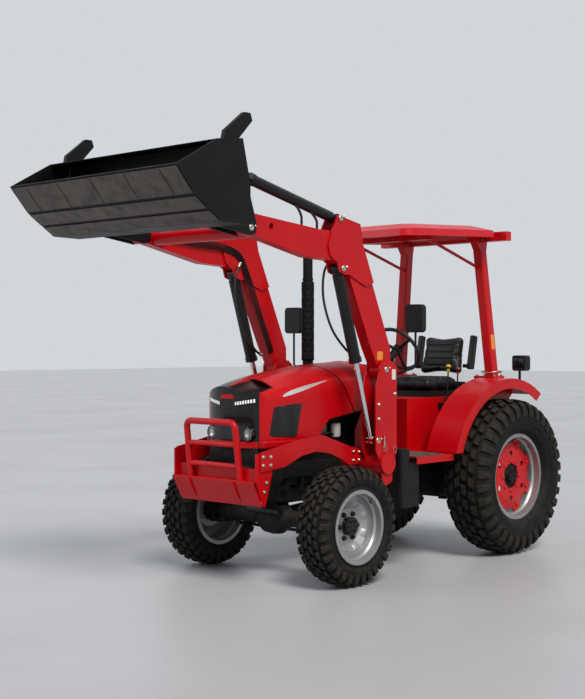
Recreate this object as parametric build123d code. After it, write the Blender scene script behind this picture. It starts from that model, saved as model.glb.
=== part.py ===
"""Compact four-wheel-drive farm tractor with a front loader and a sun canopy.

Lengths in millimetres.  +Z is up, the nose points to -Y, and +X is the tractor's left.
Everything is drawn from the rear axle's centre line and moved once, when it is written.
"""
import math
import os

from build123d import *

# Wheels and stance
REAR_TYRE_D = 1179.0
REAR_TYRE_W = 370.0
REAR_HALF_TRACK = 637.0
REAR_FLANGE_R = 326.0
FRONT_TYRE_D = 792.0
FRONT_TYRE_W = 250.0
FRONT_HALF_TRACK = 652.0
FRONT_FLANGE_R = 246.5
WHEELBASE = 1881.0
KINGPIN_X = 520.0
REAR_LUGS = 18
FRONT_LUGS = 18
LUG_HEIGHT = 20.0
LUG_SHARE = 0.56
SPINDLE_R = 42.0
AXLE_STUB_R = 45.0
KINGPIN_R = 20.0
STEER_ARM = 140.0

# Loader
PIVOT = (-1350.0, 1420.0)
BUCKET_PIN = (-2680.0, 2320.0)
TILT_REAR_PIN = (-1834.0, 2439.0)
TILT_FRONT_PIN = (-2790.0, 2668.0)
LIFT_TOP_PIN = (-1806.0, 2104.0)
LIFT_BASE_PIN = (-1440.0, 930.0)
ARM_X = 500.0
ARM_WIDTH = 86.0
ARM_PLATE = 12.0
MAST_GAP = 106.0
BUCKET_HALF = 800.0
PIVOT_PIN_R = 20.0
SMALL_PIN_R = 12.5
BUCKET_PIN_R = 15.0
LIFT_BARREL_R = 40.0
LIFT_ROD_R = 20.0
EYE_R = 32.0
TILT_BARREL_R = 36.0
TILT_ROD_R = 18.0

# Body
HOOD_HINGE = (-1582.0, 1434.0)
COWL_REAR = -1140.0
BULKHEAD = 10.0
NOSE_R = 430.0
NOSE_Y = -2350.0
LAMP = (170.0, 1000.0)
DECK_Z = 800.0
DECK_HALF = 655.0
FENDER_OUT_R = 745.0
FENDER_LIP_R = 668.0
FENDER_IN_X = 430.0
FENDER_OUT_X = 702.0
ROOF_HALF = 570.0
SHEET = 6.0

# Rear hitch
SHAFT = (215.0, 845.0)
SHAFT_R = 28.0
LINK_PIN = (120.0, 440.0)
LINK_PIN_R = 14.0
BALL = (800.0, 520.0)
BALL_BORE_R = 11.2
ARM_TIP = (470.0, 900.0)
PTO_R = 17.5

# Fits and gaps
RUN_FIT = 0.05
BEAD_DROP = 18.0
RIM_SHEET = 8.0
WELL_STEP = 12.0
MOVE_GAP = 6.0
SOFT_GAP = 0.3

REAR_Z = REAR_TYRE_D / 2
FRONT_Z = FRONT_TYRE_D / 2
FRONT_REACH = 3520.0
REAR_REACH = 830.0
SHIFT_Y = (FRONT_REACH - REAR_REACH) / 2
SIDES = (1, -1)


def slab(points, x_from, x_to):
    """Plate with an outline in Y and Z, between two X positions."""
    face = Plane.YZ.offset(x_from) * Polygon(*points, align=None)
    return extrude(face, x_to - x_from, dir=(1, 0, 0))


def block(x_from, x_to, y_from, y_to, z_from, z_to):
    """Box between two corners."""
    solid = Box(x_to - x_from, y_to - y_from, z_to - z_from)
    return Pos((x_from + x_to) / 2, (y_from + y_to) / 2, (z_from + z_to) / 2) * solid


def bar(start, end, radius):
    """Round bar between two points."""
    begin, finish = Vector(*start), Vector(*end)
    run = finish - begin
    return extrude(Plane(origin=begin, z_dir=run) * Circle(radius), run.length)


def cross(pin, x_from, x_to, radius):
    """Round bar along X through a point given in Y and Z."""
    return bar((x_from, pin[0], pin[1]), (x_to, pin[0], pin[1]), radius)


def pipe(points, radius, bend):
    """Bent tube through a list of points, its corners rounded."""
    path = FilletPolyline(*points, radius=bend)
    start = Plane(origin=path @ 0, z_dir=path % 0)
    return sweep(start * Circle(radius), path=path)


def spun(profile, centre):
    """Ring round an axle along X, from a profile of (x, radius) points."""
    face = Plane.XZ * Polygon(*profile, align=None)
    ring = revolve(face, Axis.X, 360)
    return Pos(*centre) * ring


def flip(shape):
    """The same piece on the tractor's other side."""
    return mirror(shape, Plane.YZ)


def both(shape):
    """A piece with its twin on the other side."""
    return Compound(children=list(shape.solids()) + list(flip(shape).solids()))


def pair_fused(shape):
    """A piece joined with its twin on the other side."""
    return shape + flip(shape)


def towards(start, end, length):
    """Point at a length from start, on the line to end, in Y and Z."""
    run = (end[0] - start[0], end[1] - start[1])
    full = math.hypot(*run)
    return (start[0] + run[0] * length / full, start[1] + run[1] * length / full)


def inset(chain, depth):
    """Open chain of points moved sideways to its right by a depth."""
    lines = []
    for (y0, z0), (y1, z1) in zip(chain, chain[1:]):
        size = math.hypot(y1 - y0, z1 - z0)
        step = ((z1 - z0) / size * depth, -(y1 - y0) / size * depth)
        lines.append(((y0 + step[0], z0 + step[1]), (y1 + step[0], z1 + step[1])))
    moved = [lines[0][0]]
    for (a, b), (c, d) in zip(lines, lines[1:]):
        den = (b[0] - a[0]) * (d[1] - c[1]) - (b[1] - a[1]) * (d[0] - c[0])
        along = ((c[0] - a[0]) * (d[1] - c[1]) - (c[1] - a[1]) * (d[0] - c[0])) / den
        moved.append((a[0] + along * (b[0] - a[0]), a[1] + along * (b[1] - a[1])))
    return moved + [lines[-1][1]]


# Tyres and wheels

def faceted_ring(profile, count):
    """Ring round X with flat facets, from a profile of (x, radius) points."""
    faces = []
    size = len(profile)
    for k in range(count):
        turns = [2 * math.pi * (k + step) / count for step in (0, 1)]
        corner = [[(x, r * math.cos(a), r * math.sin(a)) for x, r in profile] for a in turns]
        for i in range(size):
            j = (i + 1) % size
            loop = [corner[0][i], corner[0][j], corner[1][j], corner[1][i]]
            faces.append(Face(Wire.make_polygon([Vector(*q) for q in loop], close=True)))
    return Solid(Shell(faces))


def tyre(diameter, width, flange_r, face_x, lugs):
    """Tyre at the origin: a faceted casing with a staggered row of lugs on each side."""
    outer = diameter / 2
    half = width / 2
    bead = flange_r - BEAD_DROP
    depth = outer - flange_r
    base = outer - LUG_HEIGHT
    side = [
        (face_x - 8.0, bead),
        (face_x - 8.0, flange_r + 2.0),
        (half * 0.95, flange_r + depth * 0.26),
        (half * 0.97, flange_r + depth * 0.60),
        (half * 0.80, base),
    ]
    grow = 1 / math.cos(math.pi / lugs)
    ring = side + [(-x, r) for x, r in reversed(side)]
    casing = faceted_ring([(x, r * grow) for x, r in ring], lugs)
    wide = 2 * math.pi * outer / lugs * LUG_SHARE
    top = math.sqrt(outer ** 2 - (wide / 2) ** 2)
    lug = [
        (8.0, base - 8.0),
        (8.0, top),
        (half * 0.80, top - 2.0),
        (half, outer - depth * 0.22),
        (half, flange_r + depth * 0.66),
        (half * 0.90, flange_r + depth * 0.60),
    ]
    plane = Plane(origin=(0, wide / 2, 0), x_dir=(1, 0, 0), z_dir=(0, -1, 0))
    tooth = extrude(plane * Polygon(*lug, align=None), wide, dir=(0, -1, 0))
    teeth = []
    for k in range(lugs):
        turn = 180 + 360 / lugs * k
        teeth.append(Rot(X=turn + 90 / lugs) * tooth)
        teeth.append(Rot(X=turn - 90 / lugs) * flip(tooth))
    return Part() + casing + teeth


def rim(flange_r, face_x):
    """Drop-centre rim barrel with rolled flanges, open through the middle."""
    bead = flange_r - BEAD_DROP
    seat = bead - RIM_SHEET
    well = seat - WELL_STEP
    outside = [
        (face_x, flange_r),
        (face_x - 8.0, flange_r),
        (face_x - 8.0, bead),
        (-face_x + 8.0, bead),
        (-face_x + 8.0, flange_r),
        (-face_x, flange_r),
    ]
    inside = [
        (-face_x, seat),
        (-face_x * 0.62, seat),
        (-face_x * 0.50, well),
        (face_x * 0.50, well),
        (face_x * 0.62, seat),
        (face_x, seat),
    ]
    return spun(outside + inside, (0, 0, 0))


def wheel_at(shape, side, half_track, y, z):
    """Wheel piece moved to its place, turned for the right-hand side."""
    piece = shape if side > 0 else flip(shape)
    return Pos(side * half_track, y, z) * piece


def well_radius(flange_r):
    """Inner radius of a rim's well, where its disc is welded or bolted."""
    return flange_r - BEAD_DROP - RIM_SHEET - WELL_STEP


def rear_disc():
    """Red centre disc of a rear wheel, scalloped where it bolts to the rim."""
    lug_r = well_radius(REAR_FLANGE_R)
    plate = spun([(52, 95), (62, 95), (62, 190), (48, 252), (38, 252), (52, 186)], (0, 0, 0))
    for k in range(8):
        lug = Pos(43, 0, lug_r - 30) * Box(10, 92, 60)
        plate = plate + Rot(X=360 / 8 * k + 22.5) * lug
    plate = plate & bar((30, 0, 0), (70, 0, 0), lug_r)
    for k in range(6):
        plate = plate - Rot(X=60 * k) * bar((30, 0, 172), (80, 0, 172), 21)
    return plate


def front_disc():
    """Dished centre of a front wheel, part of its rim."""
    seat = well_radius(FRONT_FLANGE_R)
    return spun([(0, 62), (10, 62), (10, 120), (40, 165), (40, seat + 2), (32, seat + 2),
                 (30, 168), (0, 124)], (0, 0, 0))


def hub_front():
    """Front hub turning on the knuckle's spindle, with its dark cap."""
    ring = spun([(-8, SPINDLE_R + RUN_FIT), (-8, 62), (48, 62), (52, 50), (52, 0), (46, 0),
                 (46, SPINDLE_R + RUN_FIT)], (0, 0, 0))
    return ring


def hub_rear():
    """Rear hub turning on the trumpet's stub, with the flange that carries the disc."""
    return spun([(-131, AXLE_STUB_R + RUN_FIT), (-131, 70), (34, 70), (34, 130), (52, 130),
                 (52, 60), (78, 55), (78, 0), (-70, 0), (-70, AXLE_STUB_R + RUN_FIT)],
                (0, 0, 0))


# Running gear

def front_axle():
    """Cast driven beam with a central gear case, ending in kingpin eyes."""
    axle_y, axle_z = -WHEELBASE, FRONT_Z
    beam = spun([(0, 0), (0, 118), (60, 112), (105, 78), (150, 58), (420, 50), (452, 58),
                 (452, 0)], (0, axle_y, axle_z))
    eye = Pos(KINGPIN_X, axle_y, axle_z) * Cylinder(38, 90)
    neck = block(440, KINGPIN_X, axle_y - 36, axle_y + 36, axle_z - 45, axle_z + 45)
    pin = Pos(KINGPIN_X, axle_y, axle_z) * Cylinder(KINGPIN_R, 158)
    saddle = block(-70, 70, axle_y - 60, axle_y + 60, axle_z + 60, 620)
    return pair_fused(beam + eye + neck + pin) + saddle


def knuckle():
    """Left steering knuckle: a fork round the axle's end and the wheel's spindle."""
    axle_y, axle_z = -WHEELBASE, FRONT_Z
    body = block(566, 596, axle_y - 60, axle_y + 60, axle_z - 79, axle_z + 79)
    for top in (1, -1):
        z_mid = axle_z + top * 66
        body = body + Pos(KINGPIN_X, axle_y, z_mid) * Cylinder(46, 26)
        body = body + block(KINGPIN_X, 590, axle_y - 44, axle_y + 44, z_mid - 13, z_mid + 13)
    body = body + cross((axle_y, axle_z), 596, 640, 84)
    body = body + cross((axle_y, axle_z), 640, 696, SPINDLE_R)
    body = body + block(488, 524, axle_y + 20, axle_y + STEER_ARM, axle_z - 79, axle_z - 61)
    body = body + Pos(506, axle_y + STEER_ARM, axle_z - 70) * Cylinder(22, 18)
    return body - Pos(KINGPIN_X, axle_y, axle_z) * Cylinder(KINGPIN_R + RUN_FIT, 170)


def tie_rod():
    """Track rod behind the axle, its ends just under the steering arms."""
    y, z = -WHEELBASE + STEER_ARM, FRONT_Z - 79 - MOVE_GAP - 15
    rod = cross((y, z), -506, 506, 12)
    return rod + pair_fused(Pos(506, y, z) * Cylinder(20, 30))


def transmission():
    """Gearbox and rear axle housing with its trumpets, stubs and drive shaft."""
    case = block(-150, 150, -1300, -180, 430, 780)
    case = fillet(case.edges().filter_by(Axis.Y), 40)
    centre = block(-190, 190, -180, 190, 400, 800)
    centre = fillet(centre.edges().filter_by(Axis.Y), 60)
    horn = spun([(0, 0), (0, 165), (190, 150), (250, 105), (455, 92), (470, 135),
                 (500, 135), (500, AXLE_STUB_R), (560, AXLE_STUB_R), (560, 0)],
                (0, 0, REAR_Z))
    shaft = bar((0, 180, 560), (0, 300, 560), PTO_R)
    guard = block(-90, 90, 180, 330, 640, 648) + block(-90, -82, 180, 330, 560, 648)
    guard = guard + block(82, 90, 180, 330, 560, 648)
    tower = slab([(120, 780), (190, 780), (190, 760), (248, 845), (230, 880), (190, 880)],
                 150, 180)
    tower = tower - cross(SHAFT, 140, 190, SHAFT_R + RUN_FIT)
    pins = cross(LINK_PIN, 180, 276, LINK_PIN_R)
    return case + centre + pair_fused(horn + pins + tower) + shaft + guard


def front_frame():
    """Front casting round the engine's sump, with the axle's hangers."""
    side = slab([(-2425, 640), (-2425, 790), (-1240, 790), (-1240, 620), (-1650, 620),
                 (-1760, 690), (-2010, 690), (-2120, 620), (-2300, 620)], 190, 214)
    frame = pair_fused(side)
    frame = frame + block(-190, 190, -2425, -2400, 640, 790)
    frame = frame + block(-190, 190, -2400, -2060, 770, 790)
    for y in (-WHEELBASE - 60, -WHEELBASE + 60):
        step = 24 if y > -WHEELBASE else -24
        frame = frame + block(-80, 80, min(y, y + step), max(y, y + step), 560, 630)
        frame = frame + block(-190, 190, min(y, y + step), max(y, y + step), 600, 630)
    for y in (-WHEELBASE - 84, -WHEELBASE + 60):
        frame = frame + pair_fused(block(170, 190, y, y + 24, 600, 720))
    return frame


# Loader

def boom_arm():
    """Left boom arm: a bent box beam with doubler plates at its elbow."""
    half = ARM_WIDTH / 2
    beam = slab([(-2655, 2413), (-2024, 2353), (-1710, 2352), (-1601, 2281),
                 (-1285, 1569), (-1284, 1425), (-1414, 1425), (-1502, 1579),
                 (-1741, 2083), (-1856, 2153), (-2135, 2167), (-2667, 2281)],
                ARM_X - half, ARM_X + half)
    beam = beam + cross(PIVOT, ARM_X - half, ARM_X + half, 66)
    beam = beam + cross(BUCKET_PIN, ARM_X - half, ARM_X + half, 46)
    doubler = [(-1856, 2459), (-1623, 2414), (-1595, 2281), (-1480, 2020),
               (-1560, 1990), (-1741, 2066), (-1780, 2062), (-1838, 2080),
               (-1856, 2140), (-1930, 2180), (-1950, 2250), (-1905, 2371)]
    for x in (ARM_X - half - ARM_PLATE, ARM_X + half):
        beam = beam + slab(doubler, x, x + ARM_PLATE)
    beam = beam - cross(PIVOT, ARM_X - half, ARM_X + half, PIVOT_PIN_R + RUN_FIT)
    beam = beam - cross(BUCKET_PIN, ARM_X - half, ARM_X + half, BUCKET_PIN_R + RUN_FIT)
    beam = beam - cross((-2485, 2342), ARM_X - half - 1, ARM_X + half + 1, 20)
    beam = beam - bar((ARM_X, *LIFT_TOP_PIN), (ARM_X, *LIFT_BASE_PIN), LIFT_BARREL_R + 3)
    beam = beam - cross(LIFT_TOP_PIN, ARM_X - half, ARM_X + half, EYE_R + MOVE_GAP)
    full = half + ARM_PLATE
    for pin in (TILT_REAR_PIN, LIFT_TOP_PIN):
        beam = beam + cross(pin, ARM_X - full, ARM_X + full, SMALL_PIN_R)
    return beam


def boom():
    """Both boom arms with the cross tube behind the bucket."""
    inner = ARM_X - ARM_WIDTH / 2
    return pair_fused(boom_arm()) + cross((-2575, 2315), -inner, inner, 48)


def cylinder_barrel(eye, end, length, radius, eye_half):
    """Barrel from a bored eye on a pin towards the far pin."""
    start = towards(eye, end, 42)
    stop = towards(eye, end, length)
    body = bar((ARM_X, *start), (ARM_X, *stop), radius)
    lug = cross(eye, ARM_X - eye_half, ARM_X + eye_half, EYE_R)
    neck_end = towards(eye, end, 50)
    neck = bar((ARM_X, *towards(eye, end, 5)), (ARM_X, *neck_end), eye_half)
    gland = towards(eye, end, length - 30)
    body = body + bar((ARM_X, *gland), (ARM_X, *stop), radius + 5)
    bore = cross(eye, ARM_X - eye_half, ARM_X + eye_half, SMALL_PIN_R + RUN_FIT)
    deep = towards(eye, end, 78)
    hollow = bar((ARM_X, *deep), (ARM_X, *towards(eye, end, length + 1)), ROD_CLEAR[radius])
    return body + lug + neck - bore - hollow


def cylinder_rod(eye, end, start_len, radius, eye_half, boss):
    """Chrome rod from inside its barrel to an eye on the far pin."""
    begin = towards(eye, end, start_len)
    rod = bar((ARM_X, *begin), (ARM_X, *end), radius)
    return rod + cross(end, ARM_X - eye_half, ARM_X + eye_half, boss)


ROD_CLEAR = {LIFT_BARREL_R: LIFT_ROD_R + RUN_FIT, TILT_BARREL_R: TILT_ROD_R + RUN_FIT}


def mast():
    """Left loader tower: two plates round the boom's foot, on a cross tube."""
    inner = ARM_X - MAST_GAP / 2
    outer = ARM_X + MAST_GAP / 2
    outline = [(-1467, 860), (-1467, 1290), (-1418, 1425), (-1282, 1475), (-1238, 1440),
               (-1238, 840), (-1280, 780), (-1290, 640), (-1380, 600), (-1425, 780)]
    post = slab(outline, inner - ARM_PLATE, inner) + slab(outline, outer, outer + ARM_PLATE)
    post = post + cross(PIVOT, inner - ARM_PLATE, outer + ARM_PLATE, PIVOT_PIN_R)
    for x in (inner - ARM_PLATE, outer):
        post = post + cross(PIVOT, x, x + ARM_PLATE, 75)
    post = post + block(inner, outer, -1250, -1238, 860, 1300)
    post = post + cross((-1350, 770), 214, outer + ARM_PLATE + 18, 78)
    return post


def side_rails():
    """Arched plates from the towers to the guard, over the front wheels."""
    rail = slab([(-2441, 773), (-2215, 792), (-2048, 855), (-1911, 875), (-1770, 855),
                 (-1626, 799), (-1553, 758), (-1430, 769), (-1430, 862), (-1553, 889),
                 (-1841, 982), (-2065, 965), (-2441, 897)], 394, 406)
    return both(rail)


def brush_guard():
    """Front guard of tubes over a folded push plate."""
    cheek = slab([(-2470, 700), (-2400, 546), (-2385, 546), (-2320, 770), (-2320, 890),
                  (-2470, 890)], 382, 394)
    front = slab([(-2493, 701), (-2409, 543), (-2401, 549), (-2484, 705)], -382, 382)
    shelf = block(-382, 382, -2490, -2425, 701, 711)
    back = block(-382, 382, -2437, -2425, 711, 790)
    hoop = pipe([(235, -2458, 705), (230, -2505, 1086), (-230, -2505, 1086),
                 (-235, -2458, 705)], 22, 45)
    guard = pair_fused(cheek) + front + shelf + back + hoop
    for z, y in ((940, -2487), (800, -2470)):
        guard = guard + bar((-233, y, z), (233, y, z), 17)
    return guard


BUCKET_CHAIN = [(-3520, 2610), (-3380, 2450), (-3270, 2375), (-3170, 2310), (-2963, 2306),
                (-2931, 2423), (-2931, 2548), (-2994, 2811), (-3204, 2786)]


def bucket():
    """Bucket folded from one plate, with side plates, brackets and corner ears."""
    plate = 10.0
    shell = slab(BUCKET_CHAIN, -BUCKET_HALF, BUCKET_HALF)
    cavity = inset(BUCKET_CHAIN, -plate)
    cavity = [(cavity[0][0] - 40, cavity[0][1] + 60)] + cavity + [
        (cavity[-1][0] - 40, cavity[-1][1] + 60)]
    shell = shell - slab(cavity, -BUCKET_HALF + plate, BUCKET_HALF - plate)
    inner = ARM_X - ARM_WIDTH / 2 - MOVE_GAP
    outer = ARM_X + ARM_WIDTH / 2 + MOVE_GAP
    bracket = [(-2984, 2760), (-2790, 2716), (-2748, 2690), (-2634, 2340), (-2640, 2290),
               (-2690, 2272), (-2960, 2309), (-2935, 2422), (-2935, 2549)]
    ears = slab(bracket, inner - ARM_PLATE, inner) + slab(bracket, outer, outer + ARM_PLATE)
    ears = ears + cross(BUCKET_PIN, inner - ARM_PLATE, outer + ARM_PLATE, BUCKET_PIN_R)
    horn = slab([(-3124, 2790), (-3010, 2800), (-2885, 2930), (-2900, 2975),
                 (-2950, 2975), (-3110, 2850)], BUCKET_HALF - 60, BUCKET_HALF - 30)
    return shell + pair_fused(ears) + pair_fused(horn)


# Hood and cowl

HOOD_STATIONS = [
    (-2360, 262, 1195, 1262, 1306), (-2200, 285, 1215, 1300, 1350),
    (-2030, 298, 1235, 1330, 1381), (-1700, 304, 1262, 1376, 1428),
    (-1390, 304, 1280, 1398, 1452), (-1130, 304, 1290, 1412, 1472)]


def hood_body(shrink, low):
    """Solid under the hood's skin, made from its cross-sections."""
    sections = []
    for y, half, side_z, corner_z, top_z in HOOD_STATIONS:
        w, side, corner, top = half - shrink, side_z, corner_z - shrink, top_z - shrink
        with BuildSketch(Plane(origin=(0, y, 0), x_dir=(1, 0, 0), z_dir=(0, -1, 0))) as sk:
            with BuildLine():
                Line((-w * 0.99, low), (-w, side))
                Spline((-w, side), (-w * 0.80, corner), (0, top), (w * 0.80, corner),
                       (w, side), tangents=((0, 1), (0, -1)))
                Line((w, side), (w * 0.99, low))
                Line((w * 0.99, low), (-w * 0.99, low))
            make_face()
        sections.append(sk.sketch)
    return loft(sections)


def hood_skin():
    """Sheet of hood and cowl in one, closed at the nose, open below and behind."""
    outer = hood_body(0, 862)
    inner = hood_body(SHEET, 800)
    round_nose = Pos(0, NOSE_Y + NOSE_R, 1200) * Cylinder(NOSE_R, 900)
    rear = block(-400, 400, NOSE_Y + NOSE_R, 0, 700, 1700)
    round_in = Pos(0, NOSE_Y + NOSE_R, 1200) * Cylinder(NOSE_R - 10, 900)
    return (outer & (round_nose + rear)) - (inner & (round_in + rear))


def nose_forms():
    """Grille ribs and round lamp housings that stand on the nose panel."""
    inner = Pos(0, NOSE_Y + NOSE_R, 1050) * Cylinder(NOSE_R - 8, 400)
    forms = []
    for k in range(5):
        ring = Pos(0, NOSE_Y + NOSE_R, 1065 + 24 * k) * Cylinder(NOSE_R + 5, 8)
        forms.append((ring & block(-190, 190, -2400, -2200, 950, 1300)) - inner)
    x, z = LAMP
    housing = bar((x, NOSE_Y + 28, z), (x, NOSE_Y + 60, z), 48)
    return forms + [housing, flip(housing)]


def hood_pieces():
    """Hood shell, nose panel, side grilles and rear cowl, cut from one skin."""
    skin = hood_skin()
    skin = skin - slab([(-1746, 700), (-1746, 990), (-1656, 1080), (-1303, 1127),
                        (-1436, 883), (-1436, 700)], -400, 400)
    seam = [(-1590, 1600), (-1584, 1450), (-1379, 1114), (-1379, 700)]
    back = COWL_REAR - BULKHEAD
    cowl = skin & slab(seam + [(back, 700), (back, 1600)], -400, 400)
    step = 12.0
    ahead = [(y - step, z) for y, z in seam]
    front = skin & slab(ahead + [(-2600, 700), (-2600, 1600)], -400, 400)
    front = front - block(-400, 400, -2600, -1300, 700, 945)
    front = front - block(-400, 400, -1440, -1300, 700, 1000)
    nose_zone = block(-236, 236, -2400, -2150, 900, 1500)
    nose = (front & nose_zone) + nose_forms()
    front = front - nose_zone
    window = slab([(-2190, 1180), (-1930, 1200), (-1990, 970), (-2230, 990)], -400, 400)
    grilles = front & window
    half = block(-400, 0, -2600, -1000, 700, 1700)
    front, cowl = (front - window) & half, cowl & half
    hood_lug, cowl_lug = (-94, -72), (-118, -96)
    front = front - cross(HOOD_HINGE, cowl_lug[0] - 2, cowl_lug[1] + 2, 16)
    cowl = cowl - cross(HOOD_HINGE, hood_lug[0] - 2, hood_lug[1] + 2, 16)
    front = front + cross(HOOD_HINGE, *hood_lug, 10) + block(
        *hood_lug, -1631, -1582, 1421, 1433)
    cowl = cowl + cross(HOOD_HINGE, *cowl_lug, 10) + block(
        *cowl_lug, -1582, -1541, 1424, 1438)
    front = front - cross(HOOD_HINGE, cowl_lug[0] - 1, hood_lug[1] + 1, 5 + 6 * RUN_FIT)
    cowl = cowl + cross(HOOD_HINGE, cowl_lug[0], hood_lug[1], 5)
    return pair_fused(front), nose, grilles, pair_fused(cowl)


def engine_block():
    """Plain block with the engine's real place and size."""
    return block(-165, 165, -2050, -1300, 630, 1140)


def bulkhead():
    """Plate against the cowl's rear edge that closes it behind the engine."""
    inside = hood_body(2, 866)
    return inside & block(-400, 400, COWL_REAR - BULKHEAD, COWL_REAR, 866, 1600)


def console():
    """Steering console behind the cowl, with its sloping dash."""
    body = slab([(-1138, 812), (-900, 812), (-930, 1180), (-880, 1330), (-905, 1420),
                 (-1138, 1455)], -150, 150)
    column = bar((0, -930, 1260), (0, -545, 1535), 30)
    return body + column - bar((0, -595, 1499.3), (0, -540, 1538.6), 12 + RUN_FIT)


def steering_wheel():
    """Steering wheel with three spokes, on the column's axis."""
    centre = Vector(0, -510, 1560)
    axis = Vector(0, 385, 275).normalized()
    plane = Plane(origin=centre, x_dir=(1, 0, 0), z_dir=axis)
    ring = plane * Torus(185, 14)
    hub = plane * (Pos(0, 0, -16) * Cylinder(36, 40))
    shaft = plane * (Pos(0, 0, -60) * Cylinder(12, 60))
    wheel = ring + hub + shaft
    for k in range(3):
        spoke = plane * (Rot(Z=90 + 120 * k) * (Pos(100, 0, -10) * Box(170, 26, 10)))
        wheel = wheel + spoke
    return wheel


def platform():
    """Floor deck with folded edges and a red seat box."""
    deck = block(-DECK_HALF, DECK_HALF, -1120, -560, DECK_Z - 6, DECK_Z)
    edge = block(DECK_HALF - 6, DECK_HALF, -1120, -680, DECK_Z - 50, DECK_Z)
    box = block(-300, 300, -780, -120, DECK_Z, 1190)
    box = box - block(-292, 292, -772, -120, DECK_Z, 1182)
    stay = block(150, 190, -1110, -600, 700, DECK_Z - 6)
    return deck + pair_fused(edge) + box + pair_fused(stay)


def floor_mat():
    """Ribbed rubber mat on the deck, either side of the seat box."""
    mat = block(160, 640, -1110, -790, DECK_Z, DECK_Z + 6)
    return both(mat)


def fender():
    """Left rear fender: an arch with an outer skirt and an inner wall."""
    axle = (0, REAR_Z)
    sweep_zone = slab([(-760, 806), (-900, 806), (-900, 1500), (300, 1500),
                       (430, 1215), (0, REAR_Z + 250), (-560, 806)], 400, 760)
    arch = cross(axle, FENDER_IN_X, FENDER_OUT_X, FENDER_OUT_R)
    hollow = cross(axle, FENDER_IN_X + 8, FENDER_OUT_X - 8, FENDER_OUT_R - 8)
    mouth = cross(axle, FENDER_IN_X + 8, FENDER_OUT_X + 1, FENDER_LIP_R)
    shell = (arch - hollow - mouth) & sweep_zone
    return shell


def rops():
    """Two-post roll frame with gussets and the canopy's beams."""
    frame = None
    foot = block(335, 525, 30, 170, 1300, 1348)
    foot = foot - cross((0, REAR_Z), FENDER_IN_X, 700, FENDER_OUT_R)
    foot = foot + block(335, FENDER_IN_X, 30, 170, 1300, 1348)
    leg = block(340, 420, 40, 160, 690, 1310) - block(352, 408, 52, 148, 700, 1300)
    post = loft([Plane(origin=(455, 100, 1348)) * RectangleRounded(80, 80, 12),
                 Plane(origin=(362, 68, 2330)) * RectangleRounded(80, 80, 12)])
    gusset = slab([(30, 2330), (110, 2330), (125, 2400), (-20, 2400)], 330, 395)
    brace = bar((362, 40, 2200), (362, -615, 2389), 12)
    one = foot + leg + post + gusset + brace
    frame = pair_fused(one)
    frame = frame + block(-620, 620, 50, 120, 2400, 2470)
    frame = frame + block(-420, 420, -640, -590, 2378, 2400)
    pads = block(330, 395, -60, 20, 2380, 2560) + block(330, 395, -640, -590, 2380, 2560)
    pads = pads & canopy_inside()
    pads = pads + block(330, 395, -60, 20, 2390, 2430) + block(330, 395, -640, -590, 2390, 2402)
    return frame + pair_fused(pads)


def crown(inset_by, drop):
    """Solid under the canopy's skin, sloping down to the front."""
    half_x, half_y = ROOF_HALF - inset_by, 572 - inset_by
    rim = RectangleRounded(2 * half_x, 2 * half_y, 110)
    shoulder = Pos(0, 0, 52 - drop) * RectangleRounded(2 * half_x - 16, 2 * half_y - 16, 104)
    top = Pos(0, 0, 92 - drop) * RectangleRounded(2 * half_x - 260, 2 * half_y - 260, 90)
    solid = loft([rim, shoulder], ruled=True) + loft([shoulder, top], ruled=True)
    return Pos(0, -525, 2400) * Rot(X=2.6) * solid


def canopy_inside():
    """Space under the canopy's skin."""
    return crown(SHEET, SHEET)


def canopy():
    """Crowned roof panel, hollow underneath."""
    return crown(0, 0) - canopy_inside()


def seat():
    """Seat pan bracket, soft cushion and soft backrest."""
    pan = block(-220, 220, -420, 60, 1190, 1235)
    stand = block(-230, 230, 10, 60, 1235, 1300)
    cushion = block(-235, 235, -430, 8, 1235 + SOFT_GAP, 1340)
    cushion = fillet(cushion.edges(), 30)
    back = slab([(14, 1342), (100, 1342), (165, 1660), (95, 1670)], -215, 215)
    back = fillet(back.edges(), 25)
    return pan + stand, cushion, back


def armrests():
    """Folded-up armrests either side of the backrest."""
    pad = slab([(60, 1400), (120, 1395), (170, 1660), (115, 1670)], 235, 280)
    return both(fillet(pad.edges(), 12))


def mirrors():
    """Two mirrors on bent stalks from the cowl."""
    head = block(515, 665, -1080, -1030, 1680, 1880)
    head = fillet(head.edges().filter_by(Axis.Y), 30)
    stalk = pipe([(590, -1055, 1690), (590, -1055, 1430), (280, -1165, 1330)], 8, 40)
    return both(head + (stalk - hood_body(0, 862)))


def exhaust():
    """Upright stack with its heat shield."""
    pipe_ = bar((-250, -1270, 1240), (-250, -1270, 2240), 36)
    shield = bar((-250, -1270, 1475), (-250, -1270, 2060), 44)
    return pipe_ + shield


def fuel_tank():
    """Side tank under the deck's front, with its filler ridge."""
    tank = block(330, 600, -1232, -1000, 445, 760)
    tank = fillet(tank.edges().filter_by(Axis.Z), 40)
    neck = bar((575, -1185, 445), (575, -1185, 860), 48)
    bracket = block(150, 330, -1150, -1060, 600, 640)
    return tank + neck + bracket


def tail_lamps():
    """Lamps on short stems over the fenders' rear."""
    lamp = block(610, 730, 150, 220, 1390, 1510)
    lamp = fillet(lamp.edges().filter_by(Axis.Y), 20)
    stem = bar((660, 180, 1300), (660, 180, 1400), 10)
    return both(lamp + stem - cross((0, REAR_Z), 600, 740, FENDER_OUT_R))


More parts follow.
